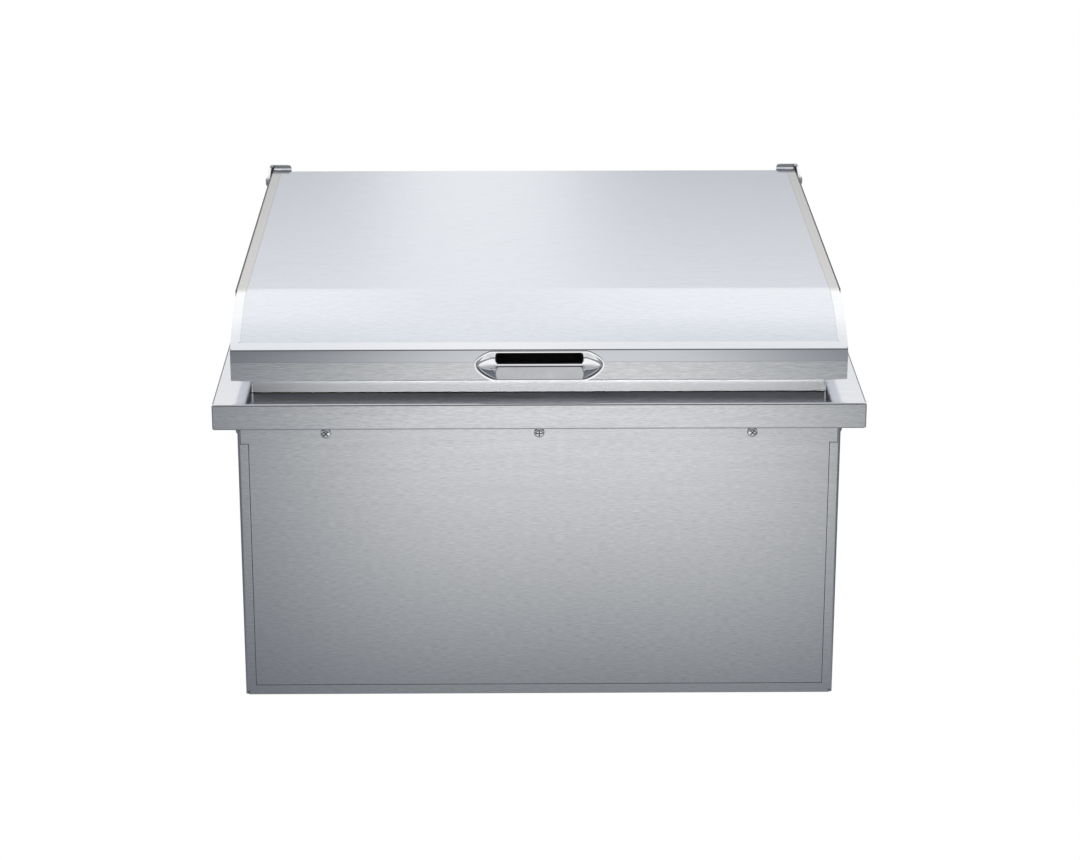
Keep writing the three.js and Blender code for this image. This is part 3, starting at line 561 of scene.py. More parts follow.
def brushed(name, axis="X", light=(0.91, 0.92, 0.935), dark=(0.75, 0.76, 0.78), rough=(0.20, 0.23),
            spread=SPREAD, ripple=0.12):
    """Steel brushed along an axis, with fine wavy grain."""
    material, tree, shader = nodes_of(name)
    fine = [GRAIN if part == axis else ACROSS for part in "XYZ"]
    coarse = [GRAIN / STREAK_LENGTH if part == axis else ACROSS / STREAK_WIDTH for part in "XYZ"]
    grain = scaled_noise(tree, fine, detail=3)
    streaks = scaled_noise(tree, coarse, detail=2)
    colour = mixed(tree, ranged(tree, grain, 0, 1), dark, light)
    tree.links.new(colour, shader.inputs["Base Color"])
    tree.links.new(ranged(tree, streaks, *rough), shader.inputs["Roughness"])
    bumped(tree, shader, grain, ripple, GRAIN_DEPTH)
    steel(tree, shader, axis, spread)
    return material


def polished(name, colour, rough, ripple=0.02):
    """Smooth bright metal with a faint unevenness."""
    material, tree, shader = nodes_of(name)
    cloud = scaled_noise(tree, (CLOUD, CLOUD, CLOUD), detail=3)
    dark = [part * CLOUD_DARK for part in colour]
    shader.inputs["Metallic"].default_value = 1
    tree.links.new(mixed(tree, cloud, dark, colour), shader.inputs["Base Color"])
    roughness = ranged(tree, cloud, rough * ROUGH_LOW, rough * ROUGH_HIGH)
    tree.links.new(roughness, shader.inputs["Roughness"])
    bumped(tree, shader, cloud, ripple, CLOUD_DEPTH)
    return material


def moulded(name, light, dark, rough, grit, depth=0.0002):
    """Plastic, rubber or foam with a fine even texture; grit is its scale per metre."""
    material, tree, shader = nodes_of(name)
    spots = scaled_noise(tree, (grit, grit, grit), detail=4, rough=0.6)
    colour = mixed(tree, ranged(tree, spots, 0, 1), dark, light)
    tree.links.new(colour, shader.inputs["Base Color"])
    roughness = ranged(tree, spots, rough * ROUGH_LOW, rough * GRIT_HIGH)
    tree.links.new(roughness, shader.inputs["Roughness"])
    bumped(tree, shader, spots, GRIT_STRENGTH, depth)
    return material


def banded(name, height, fade, low, high, ripple):
    """Steel in one colour below a height and another above it, which paints light and shade on one
    sheet: dark, light and rough for each.
    """
    material, tree, shader = nodes_of(name)
    grain = scaled_noise(tree, (GRAIN, ACROSS, ACROSS), detail=3)
    contrast = ranged(tree, grain, 0, 1)
    place = tree.nodes.new("ShaderNodeTexCoord")
    above = rescaled(tree, separated(tree, place.outputs["Object"])["Z"], height - fade, height)
    below_colour = mixed(tree, contrast, low[0], low[1])
    above_colour = mixed(tree, contrast, high[0], high[1])
    # The colour split by height is painted light and shade.
    colour = mixed(tree, above, below_colour, above_colour)
    tree.links.new(colour, shader.inputs["Base Color"])
    tree.links.new(rescaled(tree, above, 0, 1, low[2], high[2]), shader.inputs["Roughness"])
    below = maths(tree, "SUBTRACT", 1, above)
    bumped(tree, shader, maths(tree, "MULTIPLY", grain, below), ripple, GRAIN_DEPTH)
    steel(tree, shader, "X", SPREAD)
    return material


BRUSHED = brushed("brushed_steel")
BRUSHED_SIDE = brushed("brushed_steel_side", axis="Y")
PLATE = brushed(
    "plate_steel", light=(0.83, 0.84, 0.875), dark=(0.79, 0.80, 0.835), rough=(0.14, 0.18), spread=0.3,
    ripple=0.05)
TUB_STEEL = brushed(
    "tub_steel", light=(0.88, 0.89, 0.905), dark=(0.79, 0.80, 0.815), rough=(0.22, 0.27), ripple=0.15)
LID_STEEL = brushed(
    "lid_steel", light=(0.86, 0.885, 0.93), dark=(0.775, 0.805, 0.855), rough=(0.14, 0.17))
# Border steel in lit and shaded copies: near-white below the top face is a painted highlight on the
# curved border, and the flat top is a darker warm grey.
BORDER = banded(
    "border_steel", LID_TOP - 0.0001, 0.0005, low=((0.94, 0.95, 0.97), (0.97, 0.98, 1.0), 0.11),
    high=((0.77, 0.75, 0.72), (0.81, 0.79, 0.76), 0.16), ripple=0.02)
# Band steel: the strip above the height is darker blue-grey, a painted reflection. It is also smoother
# and has no grain bump.
BAND = banded(
    "band_steel", RIM_TOP + 0.036, 0.0002, low=((0.76, 0.77, 0.785), (0.92, 0.93, 0.94), 0.22),
    high=((0.65, 0.67, 0.70), (0.65, 0.67, 0.70), 0.14), ripple=0.35)
CHROME = polished("chrome", (0.90, 0.905, 0.92), 0.05, ripple=0.01)
SATIN = polished("satin_steel", (0.68, 0.69, 0.71), 0.24)
# Near-black metal for the zinc parts. In the chrome screws' cross recess it is painted shade.
ZINC_AND_RECESS_SHADE = polished("zinc_steel", (0.10, 0.105, 0.11), 0.32)
PLASTIC = moulded("black_plastic", (0.022, 0.023, 0.026), (0.012, 0.012, 0.014), 0.5, 1600)
RUBBER = moulded("rubber", (0.055, 0.055, 0.06), (0.04, 0.04, 0.044), 0.7, 900)
NYLON = moulded("nylon", (0.74, 0.73, 0.69), (0.68, 0.67, 0.63), 0.45, 500)
FOAM = moulded("foam", (0.84, 0.78, 0.60), (0.76, 0.69, 0.50), 0.9, 700, depth=0.0006)

# Rim and liner


def trim_rim():
    path = [
        Corner(SKIRT_RETURN, RIM_LOW.z, round=RIM_CORNER),
        Corner(0, RIM_LOW.z, bend=RIM_BEND, round=RIM_CORNER),
        Corner(0, RIM_TOP, bend=RIM_BEND, round=RIM_CORNER),
        Corner(UPSTAND_INSET, RIM_TOP, round=RIM_CORNER),
    ]
    sheet = sheet_frame(path, RIM_SHEET)
    finish = [BRUSHED, BRUSHED_SIDE, PLATE]
    piece("rim", sheet, finish, "cabinet", "brushed_steel", "trim_rim", facing="XZ")


def liner():
    top = RIM_TOP + COLLAR_RISE
    tub = sheet_frame([
        Corner(COLLAR_INSET, RIM_TOP + 2 * GAP, round=RIM_CORNER),
        Corner(COLLAR_INSET, top, bend=LINER_BEND, round=RIM_CORNER),
        Corner(LINER_INSET, top, bend=LINER_BEND, round=TUB_CORNER),
        Corner(LINER_INSET, FLOOR_RISE, bend=COVE_RADIUS, steps=COVE_STEPS, round=TUB_CORNER),
        Corner(SUMP_INSET, SUMP_HEIGHT, bend=COVE_RADIUS, round=TUB_CORNER),
        Corner(SUMP_INSET + SUMP_LIP, SUMP_HEIGHT, round=TUB_CORNER),
    ], LINER_SHEET)
    reach = SUMP_INSET + SUMP_LIP / 2
    floor = block(
        (reach - HALF_X, reach - HALF_Y, SUMP_HEIGHT - LINER_SHEET),
        (HALF_X - reach, HALF_Y - reach, SUMP_HEIGHT),
    )
    hole = prism(circle(0, 0, DRAIN_OUTER + GAP), "Z", 0, FLOOR_RISE)
    shell = cut(joined(tub, floor), hole)
    return piece("tub", shell, [TUB_STEEL], "cabinet", "brushed_steel", "liner")


# Body panels


def both_ends(outline, depth):
    front = prism(outline, "Y", BODY_FRONT - OVERRUN, BODY_FRONT + depth)
    return together(front, mirrored_copy(front, "Y"))


def relief_holes():
    x = BODY_SIDE - BODY_SHEET - MITRE_RELIEF
    z = MITRE_RELIEF + BODY_SHEET
    outline = circle(x, z, MITRE_RELIEF, RELIEF_STEPS)
    right = both_ends(outline, BODY_BEND + OVERRUN)
    return together(right, mirrored_copy(right, "X"))


def side_panels():
    plan = [
        Corner(BODY_SIDE - BODY_FLANGE, -BODY_FRONT),
        Corner(BODY_SIDE, -BODY_FRONT, bend=BODY_BEND),
        Corner(BODY_SIDE, BODY_FRONT, bend=BODY_BEND),
        Corner(BODY_SIDE - BODY_FLANGE, BODY_FRONT),
    ]
    sheet = prism(sheet_section(plan, BODY_SHEET), "Z", 0, BODY_HIGH.z)
    inner = BODY_SIDE - BODY_FLANGE - OVERRUN
    low = RIM_TOP - PANEL_EAR_DROP - SEAM
    outer = BODY_SIDE - BODY_BEND
    notch = [(inner, low), (outer, low), (outer, RIM_TOP), (inner, RIM_TOP)]
    mitre = [
        (inner, -OVERRUN),
        (BODY_SIDE + OVERRUN, -OVERRUN),
        (inner, BODY_FLANGE + OVERRUN),
    ]
    depth = BODY_SHEET + GAP
    right = cut(sheet, both_ends(notch, depth), both_ends(mitre, depth), relief_holes())
    both_sides("panel", right, [BRUSHED, BRUSHED_SIDE], "cabinet", "brushed_steel", "side_panel")


def bottom_tray():
    half_x = BODY_SIDE - BODY_SHEET - GAP
    half_y = -BODY_FRONT
    top = BODY_FLANGE - SEAM
    corner = BODY_BEND + GAP
    tray = lofted([
        corner_ring(half_x - BODY_SHEET, half_y - BODY_SHEET, corner - BODY_SHEET, BODY_SHEET),
        corner_ring(half_x - BODY_SHEET, half_y - BODY_SHEET, corner - BODY_SHEET, top),
        corner_ring(half_x, half_y, corner, top),
        corner_ring(half_x, half_y, corner, 0),
    ], False)
    well = prism(circle(0, 0, DRAIN_WELL), "Z", -OVERRUN, BODY_SHEET + OVERRUN)
    outer = BODY_SIDE + OVERRUN
    mitre = [(outer, -OVERRUN), (outer, BODY_FLANGE), (BODY_SIDE - BODY_FLANGE, BODY_FLANGE)]
    right = both_ends(mitre, BODY_SHEET + GAP)
    left = mirrored_copy(right, "X")
    tray = cut(tray, well, right, left, relief_holes())
    piece("tray", tray, [BRUSHED, BRUSHED_SIDE], "cabinet", "brushed_steel", "bottom_pan")


def face_panels():
    wide = BODY_SIDE - BODY_BEND - GAP
    narrow = BODY_SIDE - BODY_FLANGE - SEAM
    ear = RIM_TOP - PANEL_EAR_DROP
    right = [(narrow, BODY_FLANGE), (narrow, ear), (wide, ear), (wide, BODY_HIGH.z)]
    outline = right + [(-x, z) for x, z in reversed(right)]
    front = prism(outline, "Y", BODY_FRONT, BODY_FRONT + BODY_SHEET)
    back = mirrored_copy(front, "Y")
    piece("panel_front", front, [BRUSHED], "cabinet", "brushed_steel", "front_panel")
    piece("panel_back", back, [BRUSHED], "cabinet", "brushed_steel", "back_panel")


# Drain


def drain():
    under = SUMP_HEIGHT + GAP
    top = under + DRAIN_FLANGE_THICK
    seat = top - STRAINER_THICK - GAP
    body = turned([
        (DRAIN_BORE, DRAIN_TAIL_LIFT),
        (DRAIN_OUTER, DRAIN_TAIL_LIFT),
        (DRAIN_OUTER, under),
        (DRAIN_FLANGE, under),
        (DRAIN_FLANGE - DRAIN_FLANGE_THICK / 2, top),
        (DRAIN_SEAT, top),
        (DRAIN_SEAT, seat),
        (DRAIN_BORE, seat),
    ])
    piece("drain", body, [SATIN], "cabinet", "polished_steel", "drain_body")
    disc = prism(circle(0, 0, DRAIN_SEAT - GAP), "Z", top - STRAINER_THICK, top)
    places = [(0, 0), *circle(0, 0, STRAINER_RING, STRAINER_HOLES)]
    holes = [prism(circle(x, y, STRAINER_HOLE, HOLE_STEPS), "Z", 0, FLOOR_RISE) for x, y in places]
    strainer = cut(disc, together(*holes))
    piece(
        "strainer", strainer, [SATIN], "cabinet", "polished_steel", "drain_strainer",
        edge=STRAINER_EDGE)


# Screws, pointing along -Z with the underside of the head at 0


def screw_mesh(name, head):
    """A pan-head screw whose cross recess is coloured near-black: painted shade."""
    crown = []
    for step in range(CROWN_STEPS):
        angle = math.pi / 2 * step / CROWN_STEPS
        radius = head * math.cos(angle) ** CROWN_POWER
        crown.append((radius, SCREW_RISE * math.sin(angle) ** CROWN_POWER))
    crown.append((0, SCREW_RISE))
    shank = [(0, -SCREW_LENGTH), (SCREW_SHANK, -SCREW_LENGTH), (SCREW_SHANK, 0)]
    body = turned(shank + crown, SCREW_STEPS)
    reach = head * SCREW_SLOT_REACH
    low = SCREW_RISE - SCREW_SLOT_DEPTH
    slot = block((-reach, -SCREW_SLOT / 2, low), (reach, SCREW_SLOT / 2, SCREW_RISE + OVERRUN))
    across = moved(slot.copy(), Matrix.Rotation(math.pi / 2, 4, "Z"))
    mesh = smooth_mesh(name, cut(body, slot, across), [CHROME, ZINC_AND_RECESS_SHADE], "X")
    # The faces inside the recess take the near-black metal: painted shade in the recess.
    for face in mesh.polygons:
        inside = face.center.xy.length < reach and 0 < face.center.z < SCREW_RISE - SCREW_SLOT_DEPTH / 4
        face.material_index = 1 if inside else 0
    return mesh


def panel_screws():
    mesh = screw_mesh("screw", SCREW_HEAD)
    turns = {
        "front_screw": Matrix.Rotation(math.pi / 2, 4, "X"),
        "back_screw": Matrix.Rotation(-math.pi / 2, 4, "X"),
        "side_screw_right": Matrix.Rotation(math.pi / 2, 4, "Y"),
        "side_screw_left": Matrix.Rotation(-math.pi / 2, 4, "Y"),
    }
    for row, (family, turn) in enumerate(turns.items()):
        outward = turn.to_3x3() @ Vector((0, 0, 1))
        for i in range(PANEL_SCREWS):
            node = f"{family}_{i + 1}"
            low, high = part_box(node)
            at = (low + high) / 2
            for axis in range(2):
                if abs(outward[axis]) > 0.5:
                    edge = high[axis] if outward[axis] > 0 else low[axis]
                    at[axis] = edge - outward[axis] * SCREW_RISE
            angle = PAN_TWIST + PAN_TWIST_STEP * i + PAN_TWIST_ROW * row
            twist = Matrix.Rotation(angle, 4, "Z")
            place = Matrix.Translation(at) @ turn @ twist
            link(f"pan_{node}", mesh, "cabinet", (node,), 0, place)


def bracket_screws():
    mesh = screw_mesh("small_screw", SMALL_HEAD)
    for side in ("right", "left"):
        for i in range(BRACKET_SCREWS):
            node = f"bracket_screw_{side}_{i + 1}"
            low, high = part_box(node)
            at = Vector(((low.x + high.x) / 2, (low.y + high.y) / 2, high.z - SCREW_RISE))
            twist = Matrix.Rotation(SMALL_TWIST + SMALL_TWIST_STEP * i, 4, "Z")
            place = Matrix.Translation(at) @ twist
            link(f"pan_{node}", mesh, "cabinet", (node,), 0, place)


# Lid


def crown_path(rear_bottom):
    return [
        Corner(LID_FRONT, BAND_TOP),
        Corner(LID_FRONT + SLOPE_RUN, LID_TOP, bend=CURVE_RADIUS, steps=CURVE_STEPS),
        Corner(LID_REAR, LID_TOP, bend=LID_REAR_BEND),
        Corner(LID_REAR, rear_bottom),
    ]


def y_range(low, high, z_low=0.0):
    """A block wider and taller than the bin, between two places along Y."""
    return block((-SPAN, low, z_low), (SPAN, high, SPAN))


def lid_skin():
    low = PAN_TOP + GAP
    path = crown_path(low)
    path[-1] = path[-1]._replace(bend=LID_BEND)
    path.append(Corner(LID_REAR - LID_RETURN, low))
    half = LID_SIDE - LID_BORDER - TIGHT
    sheet = prism(sheet_section(path, LID_SHEET), "X", -half, half)
    sheet = cut(sheet, y_range(LID_FRONT - OVERRUN, LID_FRONT + BORDER_RUN + TIGHT))
    piece("lid_top", sheet, [LID_STEEL], "lid", "brushed_steel", "lid_skin", edge=LID_EDGE)


def mitre_wedge(side):
    reach = LID_BORDER + OVERRUN
    outline = [
        (side * LID_SIDE, LID_FRONT),
        (side * (LID_SIDE + reach), LID_FRONT - reach),
        (side * (LID_SIDE + reach), LID_FRONT + reach),
        (side * (LID_SIDE - reach), LID_FRONT + reach),
    ]
    return prism(outline, "Z", BAND_TOP - LID_BEND, LID_TOP)


def recess_tool(grow, low, high):
    half = RECESS_HALF - CUP_INSET + grow
    top = RECESS_TOP - CUP_INSET + grow
    outline = rounded_rectangle(-half, RECESS_FLOOR - grow, half, top, RECESS_CORNER + grow)
    return prism(outline, "Y", low, high)


def front_band():
    path = [
        Corner(LID_FRONT + LID_RETURN, BAND_LOW),
        Corner(LID_FRONT, BAND_LOW, bend=LID_BEND),
        Corner(LID_FRONT, BAND_TOP, bend=LID_BEND),
        Corner(LID_FRONT + SLOPE_RUN, LID_TOP),
    ]
    sheet = prism(sheet_section(path, LID_SHEET), "X", -LID_SIDE, LID_SIDE)
    face = rounded_rectangle(-LID_SIDE, BAND_LOW, LID_SIDE, LID_TOP, BAND_CORNER)
    sheet = kept(sheet, prism(face, "Y", LID_FRONT - OVERRUN, LID_FRONT + LID_BORDER + LID_RETURN))
    inner = LID_SIDE - LID_SHEET - GAP
    behind = LID_FRONT + LID_SHEET
    under = BAND_TOP - 2 * LID_SHEET
    ends = [
        block((inner, behind, 0), (HALF_X, LID_REAR, under)),
        block((-HALF_X, behind, 0), (-inner, LID_REAR, under)),
    ]
    slope = y_range(LID_FRONT + BORDER_RUN, LID_REAR, z_low=BAND_TOP - OVERRUN)
    hole = recess_tool(CUP_WALL + GAP, LID_FRONT - OVERRUN, LID_FRONT + LID_SHEET + GAP)
    band = cut(sheet, slope, mitre_wedge(1), mitre_wedge(-1), *ends, hole)
    piece(
        "lid_band", band, [BAND, BORDER], "lid", "brushed_steel", "lid_front_band", edge=BAND_EDGE,
        facing="Z")


def end_caps():
    path = crown_path(BAND_LOW)
    path[-1] = path[-1]._replace(bend=LID_BEND)
    path.append(Corner(LID_FRONT + LID_RETURN + GAP, BAND_LOW))
    flange = prism(sheet_section(path, LID_SHEET), "X", LID_SIDE - LID_BORDER, LID_SIDE)
    outline = [at for at, _, _ in followed(path[:-1] + [Corner(LID_FRONT, BAND_LOW)])]
    plate = prism(outline, "X", LID_SIDE - LID_SHEET, LID_SIDE)
    band = y_range(-HALF_Y, LID_FRONT + LID_SHEET + GAP)
    reach = BORDER_RUN + 2 * GAP
    inner = prism([
        (0, LID_FRONT),
        (LID_SIDE + TIGHT, LID_FRONT),
        (LID_SIDE - reach, LID_FRONT + reach + TIGHT),
        (0, LID_FRONT + reach + TIGHT),
    ], "Z", BAND_TOP - LID_BEND, LID_TOP)
    right = cut(joined(flange, plate), band, inner)
    both_sides("cap", right, [BORDER], "lid", "polished_steel", "lid_end_cap")


def lid_gasket():
    low = RIM_TOP + COLLAR_RISE + GAP
    high = PAN_BOTTOM - GAP
    middle = COLLAR_INSET + LEDGE_WIDTH / 2
    section = []
    for i in range(GASKET_STEPS + 1):
        angle = math.pi * i / GASKET_STEPS
        drop = (high - low) * math.sin(angle) ** GASKET_POWER
        section.append((middle - GASKET_WIDTH / 2 * math.cos(angle), high - drop))
    rings = [corner_ring(HALF_X - inset, HALF_Y - inset, GASKET_CORNER, z) for inset, z in section]
    piece("gasket", lofted(rings, True), [RUBBER], "lid", "rubber", "lid_gasket", edge=0)


# Handle


def bezier(a, b, c, d):
    points = []
    for i in range(PULL_STEPS + 1):
        t = i / PULL_STEPS
        s = 1 - t
        weights = (s ** 3, 3 * s * s * t, 3 * s * t * t, t ** 3)
        points.append(tuple(
            sum(weight * point[k] for weight, point in zip(weights, (a, b, c, d))) for k in range(2)))
    return points


def pull_outline(halves, top, middle, bottom):
    half_top, half_wide, half_bottom = halves
    upper = bezier(
        (half_top, top),
        (half_top + (half_wide - half_top) * PULL_TOP_SHARE, top),
        (half_wide, middle + (top - middle) * PULL_SIDE_SHARE),
        (half_wide, middle),
    )
    lower = bezier(
        (half_wide, middle),
        (half_wide, middle + (bottom - middle) * PULL_SIDE_SHARE),
        (half_bottom + (half_wide - half_bottom) * PULL_BOTTOM_SHARE, bottom),
        (half_bottom, bottom),
    )
    right = upper + lower[1:]
    return right + [(-x, z) for x, z in reversed(right)]


def between(near, far, share):
    return near + (far - near) * share


def pull_ring(depth, inset, side, top, bottom):
    """One ring of the pull. Its sides, top and bottom lie at shares of the way from grip to flange."""
    halves = [between(near, far, side) - inset for near, far in zip(GRIP_HALVES, HANDLE_HALVES)]
    outline = pull_outline(
        halves,
        between(GRIP_TOP, HANDLE_TOP, top) - inset,
        between((GRIP_TOP + GRIP_BOTTOM) / 2, HANDLE_MIDDLE, side),
        between(GRIP_BOTTOM, HANDLE_BOTTOM, bottom) + inset,
    )
    return [(x, LID_FRONT - GAP - depth, z) for x, z in outline]


def pull_rings():
    """From a thin flange in two creased lobes to a grip bar with a rounded edge."""
    rings = [pull_ring(0, 0, 1, 1, 1), pull_ring(HANDLE_EDGE, 0, 1, 1, 1)]
    rise = HANDLE_PROUD - GRIP_ROUND - HANDLE_EDGE
    for step in range(LOBE_STEPS + 1):
        out = step / LOBE_STEPS
        above = CREASE_RISE_SHARE * (1 - out) / (1 - CREASE_OUT_SHARE)
        facet = 1 - (1 - CREASE_RISE_SHARE) * out / CREASE_OUT_SHARE
        inset = HANDLE_FLANGE * (1 - out)
        depth = HANDLE_EDGE + rise * out
        rings.append(pull_ring(depth, inset, 1 - out ** 2, max(facet, above), 1 - out))
    for step in range(1, GRIP_STEPS + 1):
        angle = math.pi / 2 * step / GRIP_STEPS
        inset = GRIP_ROUND * (1 - math.cos(angle))
        depth = HANDLE_EDGE + rise + GRIP_ROUND * math.sin(angle)
        rings.append(pull_ring(depth, inset, 0, 0, 0))
    return rings


def handle():
    """The cast pull, hollow behind its grip bar, with a satin face on the bar."""
    face = LID_FRONT - GAP
    behind = face - HANDLE_PROUD + GRIP_THICK
    front = face - HANDLE_PROUD - OVERRUN
    bottom = GRIP_BOTTOM + GRIP_CORNER
    hollow = rounded_rectangle(-RECESS_HALF, bottom, RECESS_HALF, RECESS_TOP, RECESS_CORNER)
    notch = rounded_rectangle(-RECESS_HALF, GRIP_TOP, RECESS_HALF, RECESS_TOP, RECESS_CORNER)
    fingers = prism(hollow, "Y", behind, face + OVERRUN)
    above = prism(notch, "Y", front, behind + OVERRUN)
    pull = cut(lofted(pull_rings(), False), fingers, above)
    obj = piece("pull", pull, [CHROME, SATIN], "lid", "chrome", "handle", edge=PULL_EDGE)
    bar_face = MIDDLE_Y + face - HANDLE_PROUD + TIGHT
    for polygon in obj.data.polygons:
        polygon.material_index = 1 if polygon.center.y < bar_face else 0


def finger_cup():
    rear = LID_FRONT + LID_SHEET + CUP_DEPTH
    outside = recess_tool(CUP_WALL, LID_FRONT, rear + CUP_WALL)
    inside = recess_tool(0, LID_FRONT - OVERRUN, rear)
    piece(
        "cup", cut(outside, inside), [PLASTIC], "lid", "black_plastic", "handle_cup", edge=PULL_EDGE)


# Hinge brackets


def brackets():
    inner = EAR_SIDE + BRACKET_SHEET - BRACKET_WIDTH
    outer = EAR_SIDE + BRACKET_SHEET
    leg_front = LID_REAR + BRACKET_BEHIND
    leg_rear = leg_front + BRACKET_SHEET
    base = RIM_TOP + GAP
    foot_rear = leg_rear + BRACKET_TOE
    foot_front = foot_rear - BRACKET_FOOT
    outline = rounded_rectangle(inner, foot_front, outer, foot_rear, FOOT_CORNER)
    foot = prism(outline, "Z", base, base + BRACKET_SHEET)
    whole = rounded_rectangle(inner, base, outer, BRACKET_TOP, BRACKET_CORNER)
    top = [(x, z) for x, z in whole if z > base + BRACKET_CORNER]
    leg = prism([(outer, base), *top, (inner, base)], "Y", leg_front, leg_rear)
    ear = prism([
        (leg_rear, base),
        (leg_rear, BRACKET_TOP - FOOT_CORNER),
        (leg_front, BRACKET_TOP - FOOT_CORNER),
        (PIVOT_Y, PIVOT_Z + EYE_RADIUS),
        (PIVOT_Y - EYE_RADIUS, PIVOT_Z),
        (foot_front, base + BRACKET_SHEET),
        (foot_front, base),
    ], "X", EAR_SIDE, outer)
    eye = prism(circle(PIVOT_Y, PIVOT_Z, EYE_RADIUS), "X", EAR_SIDE, outer)
    right = joined(foot, leg, ear, eye)
    both_sides("bracket", right, [CHROME], "cabinet", "chrome", "hinge_bracket", edge=BRACKET_EDGE)


# CAD nodes that stay, with their finishes


def finishes():
    finish = {
        "zinc_steel": ZINC_AND_RECESS_SHADE,
        "polished_steel": SATIN,
        "brushed_steel": BRUSHED,
        "foam": FOAM,
        "rubber": RUBBER,
        "nylon": NYLON,
        "chrome": CHROME,
        "black_plastic": PLASTIC,
    }
    for part in frame["record"]["subparts"]:
        node = frame["nodes"][part["node"]]
        node.data.materials.clear()
        node.data.materials.append(finish[part["material_slot"]])


# Studio. Skies are stops of the height of a direction, from 0 at the horizon to 1 overhead.
# The pool's stops are shares of its reach ahead of the bin.

WHITE = (1, 1, 1)
FLOOR_COLOUR = (0.78, 0.785, 0.80)
FLOOR_REACH = 40
FLOOR_LEVEL = -0.0005
MATT = 0.9
POOL_X = 0.055
POOL_REACH = 4
POOL_WIDTHS = ((0.0, 0.31), (0.25, 0.36), (0.305, 0.42), (0.335, 0.25), (1.0, 0.24))
POOL = (
    (0.02, (0.0, 0.0, 0.0)),
    (0.09, (0.21, 0.21, 0.21)),
    (0.31, (1.0, 1.0, 1.0)),
    (0.37, (1.0, 1.0, 1.0)),
    (0.43, (0.3, 0.3, 0.3)),
    (1.0, (0.1, 0.1, 0.1)),
)
FLOOR_DIM = (0.123, 0.136, 0.158)
FLOOR_BRIGHT = (1.05, 1.05, 1.05)
FLOOR_AROUND = (0.50, 0.505, 0.52)
AROUND_SIDE = 0.85
AROUND_FROM = 0.5
AROUND_TO = 1.3
REAR_SKY = (
    (0.0, (0.12, 0.125, 0.14)),
    (0.19, (0.155, 0.162, 0.175)),
    (0.235, (0.375, 0.395, 0.43)),
    (0.25, (0.61, 0.63, 0.665)),
    (0.268, (0.92, 0.93, 0.95)),
    (0.285, (0.985, 0.99, 1.0)),
    (0.31, (1.02, 1.02, 1.02)),
    (0.85, (1.0, 1.0, 1.0)),
    (1.0, (0.80, 0.81, 0.83)),
)
SIDE_SKY = (0.46, 0.465, 0.48)
FRONT_HALF_WIDTH = 0.24
FRONT_SKY = (
    (0.0, (0.22, 0.225, 0.24)),
    (0.6, (0.22, 0.225, 0.24)),
    (0.85, (0.40, 0.405, 0.42)),
    (0.97, (0.78, 0.79, 0.81)),
    (1.0, (0.80, 0.81, 0.83)),
)
SKY_FROM = -0.35
SKY_TO = 0.25
GLOW = (0.92, 0.92, 0.93)
GLOW_X = -0.01
GLOW_HALF_WIDTH = 0.035
LAMP_POWER = 0.67
LAMP_X = 0.05
LAMP_WIDTH = 0.84
LAMP_HEIGHT = 0.02
LAMP_DISTANCE = 1
LAMP_TILT = math.radians(16)
CARD_COLOUR = (0.02, 0.02, 0.024)
CARD_AHEAD = 0.2
CARD_HALF_WIDTH = 0.36
CARD_LOW = RIM_TOP + 0.035
CARD_HIGH = RIM_TOP + 0.14
CAMERA_PLACE = (-0.0270, -2.9186, 1.1830)
CAMERA_TILT = math.radians(19.063)
CAMERA_PAN = math.radians(0.6)
CAMERA_LENS = 99.1
SENSOR_WIDTH = 36


def emission(tree, colour):
    shader = tree.nodes.new("ShaderNodeEmission")
    feed(tree, shader.inputs["Color"], colour)
    return shader.outputs["Emission"]


def chosen(tree, share, first, second):
    """The second of two shaders where the share is 1, and else the first."""
    mix = tree.nodes.new("ShaderNodeMixShader")
    tree.links.new(share, mix.inputs["Fac"])
    tree.links.new(first, mix.inputs[1])
    tree.links.new(second, mix.inputs[2])
    return mix.outputs["Shader"]


def ramped(tree, value, stops):
    """A colour for a value, from stops of a position and a colour."""
    node = tree.nodes.new("ShaderNodeValToRGB")
    elements = node.color_ramp.elements
    for element, (position, colour) in zip(elements, (stops[0], stops[-1])):
        element.position = position
        element.color = (*colour, 1)
    for position, colour in stops[1:-1]:
        elements.new(position).color = (*colour, 1)
    tree.links.new(value, node.inputs["Fac"])
    return node.outputs["Color"]


def falloff(tree, value, middle, width):
    """One at the middle, and less on both sides of it."""
    share = maths(tree, "DIVIDE", maths(tree, "SUBTRACT", value, middle), width)
    square = maths(tree, "MULTIPLY", share, share)
    fourth = maths(tree, "MULTIPLY", square, square)
    return maths(tree, "DIVIDE", 1, maths(tree, "ADD", fourth, 1))


def flat_sheet(name, corners):
    """One flat face of the studio."""
    bm = bmesh.new()
    bm.faces.new([bm.verts.new(corner) for corner in corners])
    return placed(name, meshed(name, bm))


def pool_colour(tree, place):
    """A painted pool of light, glowing on dim ground ahead of the bin."""
    distance = maths(tree, "MULTIPLY", place["Y"], -1)
    share = maths(tree, "DIVIDE", distance, POOL_REACH)
    widths = [(position, (width, width, width)) for position, width in POOL_WIDTHS]
    across = falloff(tree, place["X"], POOL_X, ramped(tree, share, widths))
    pool = maths(tree, "MULTIPLY", across, ramped(tree, share, POOL))
    return ramped(tree, pool, ((0, FLOOR_DIM), (1, FLOOR_BRIGHT)))


def brighter_around(tree, place, colour):
    """A brighter glow painted on the ground beside and behind the bin."""
    beside = maths(tree, "SUBTRACT", maths(tree, "ABSOLUTE", place["X"], 0), AROUND_SIDE)
    outward = maths(tree, "MAXIMUM", beside, place["Y"])
    around = tree.nodes.new("ShaderNodeMapRange")
    around.interpolation_type = "SMOOTHSTEP"
    around.inputs["From Min"].default_value = AROUND_FROM
    around.inputs["From Max"].default_value = AROUND_TO
    tree.links.new(outward, around.inputs["Value"])
    return mixed(tree, around.outputs["Result"], colour, FLOOR_AROUND)


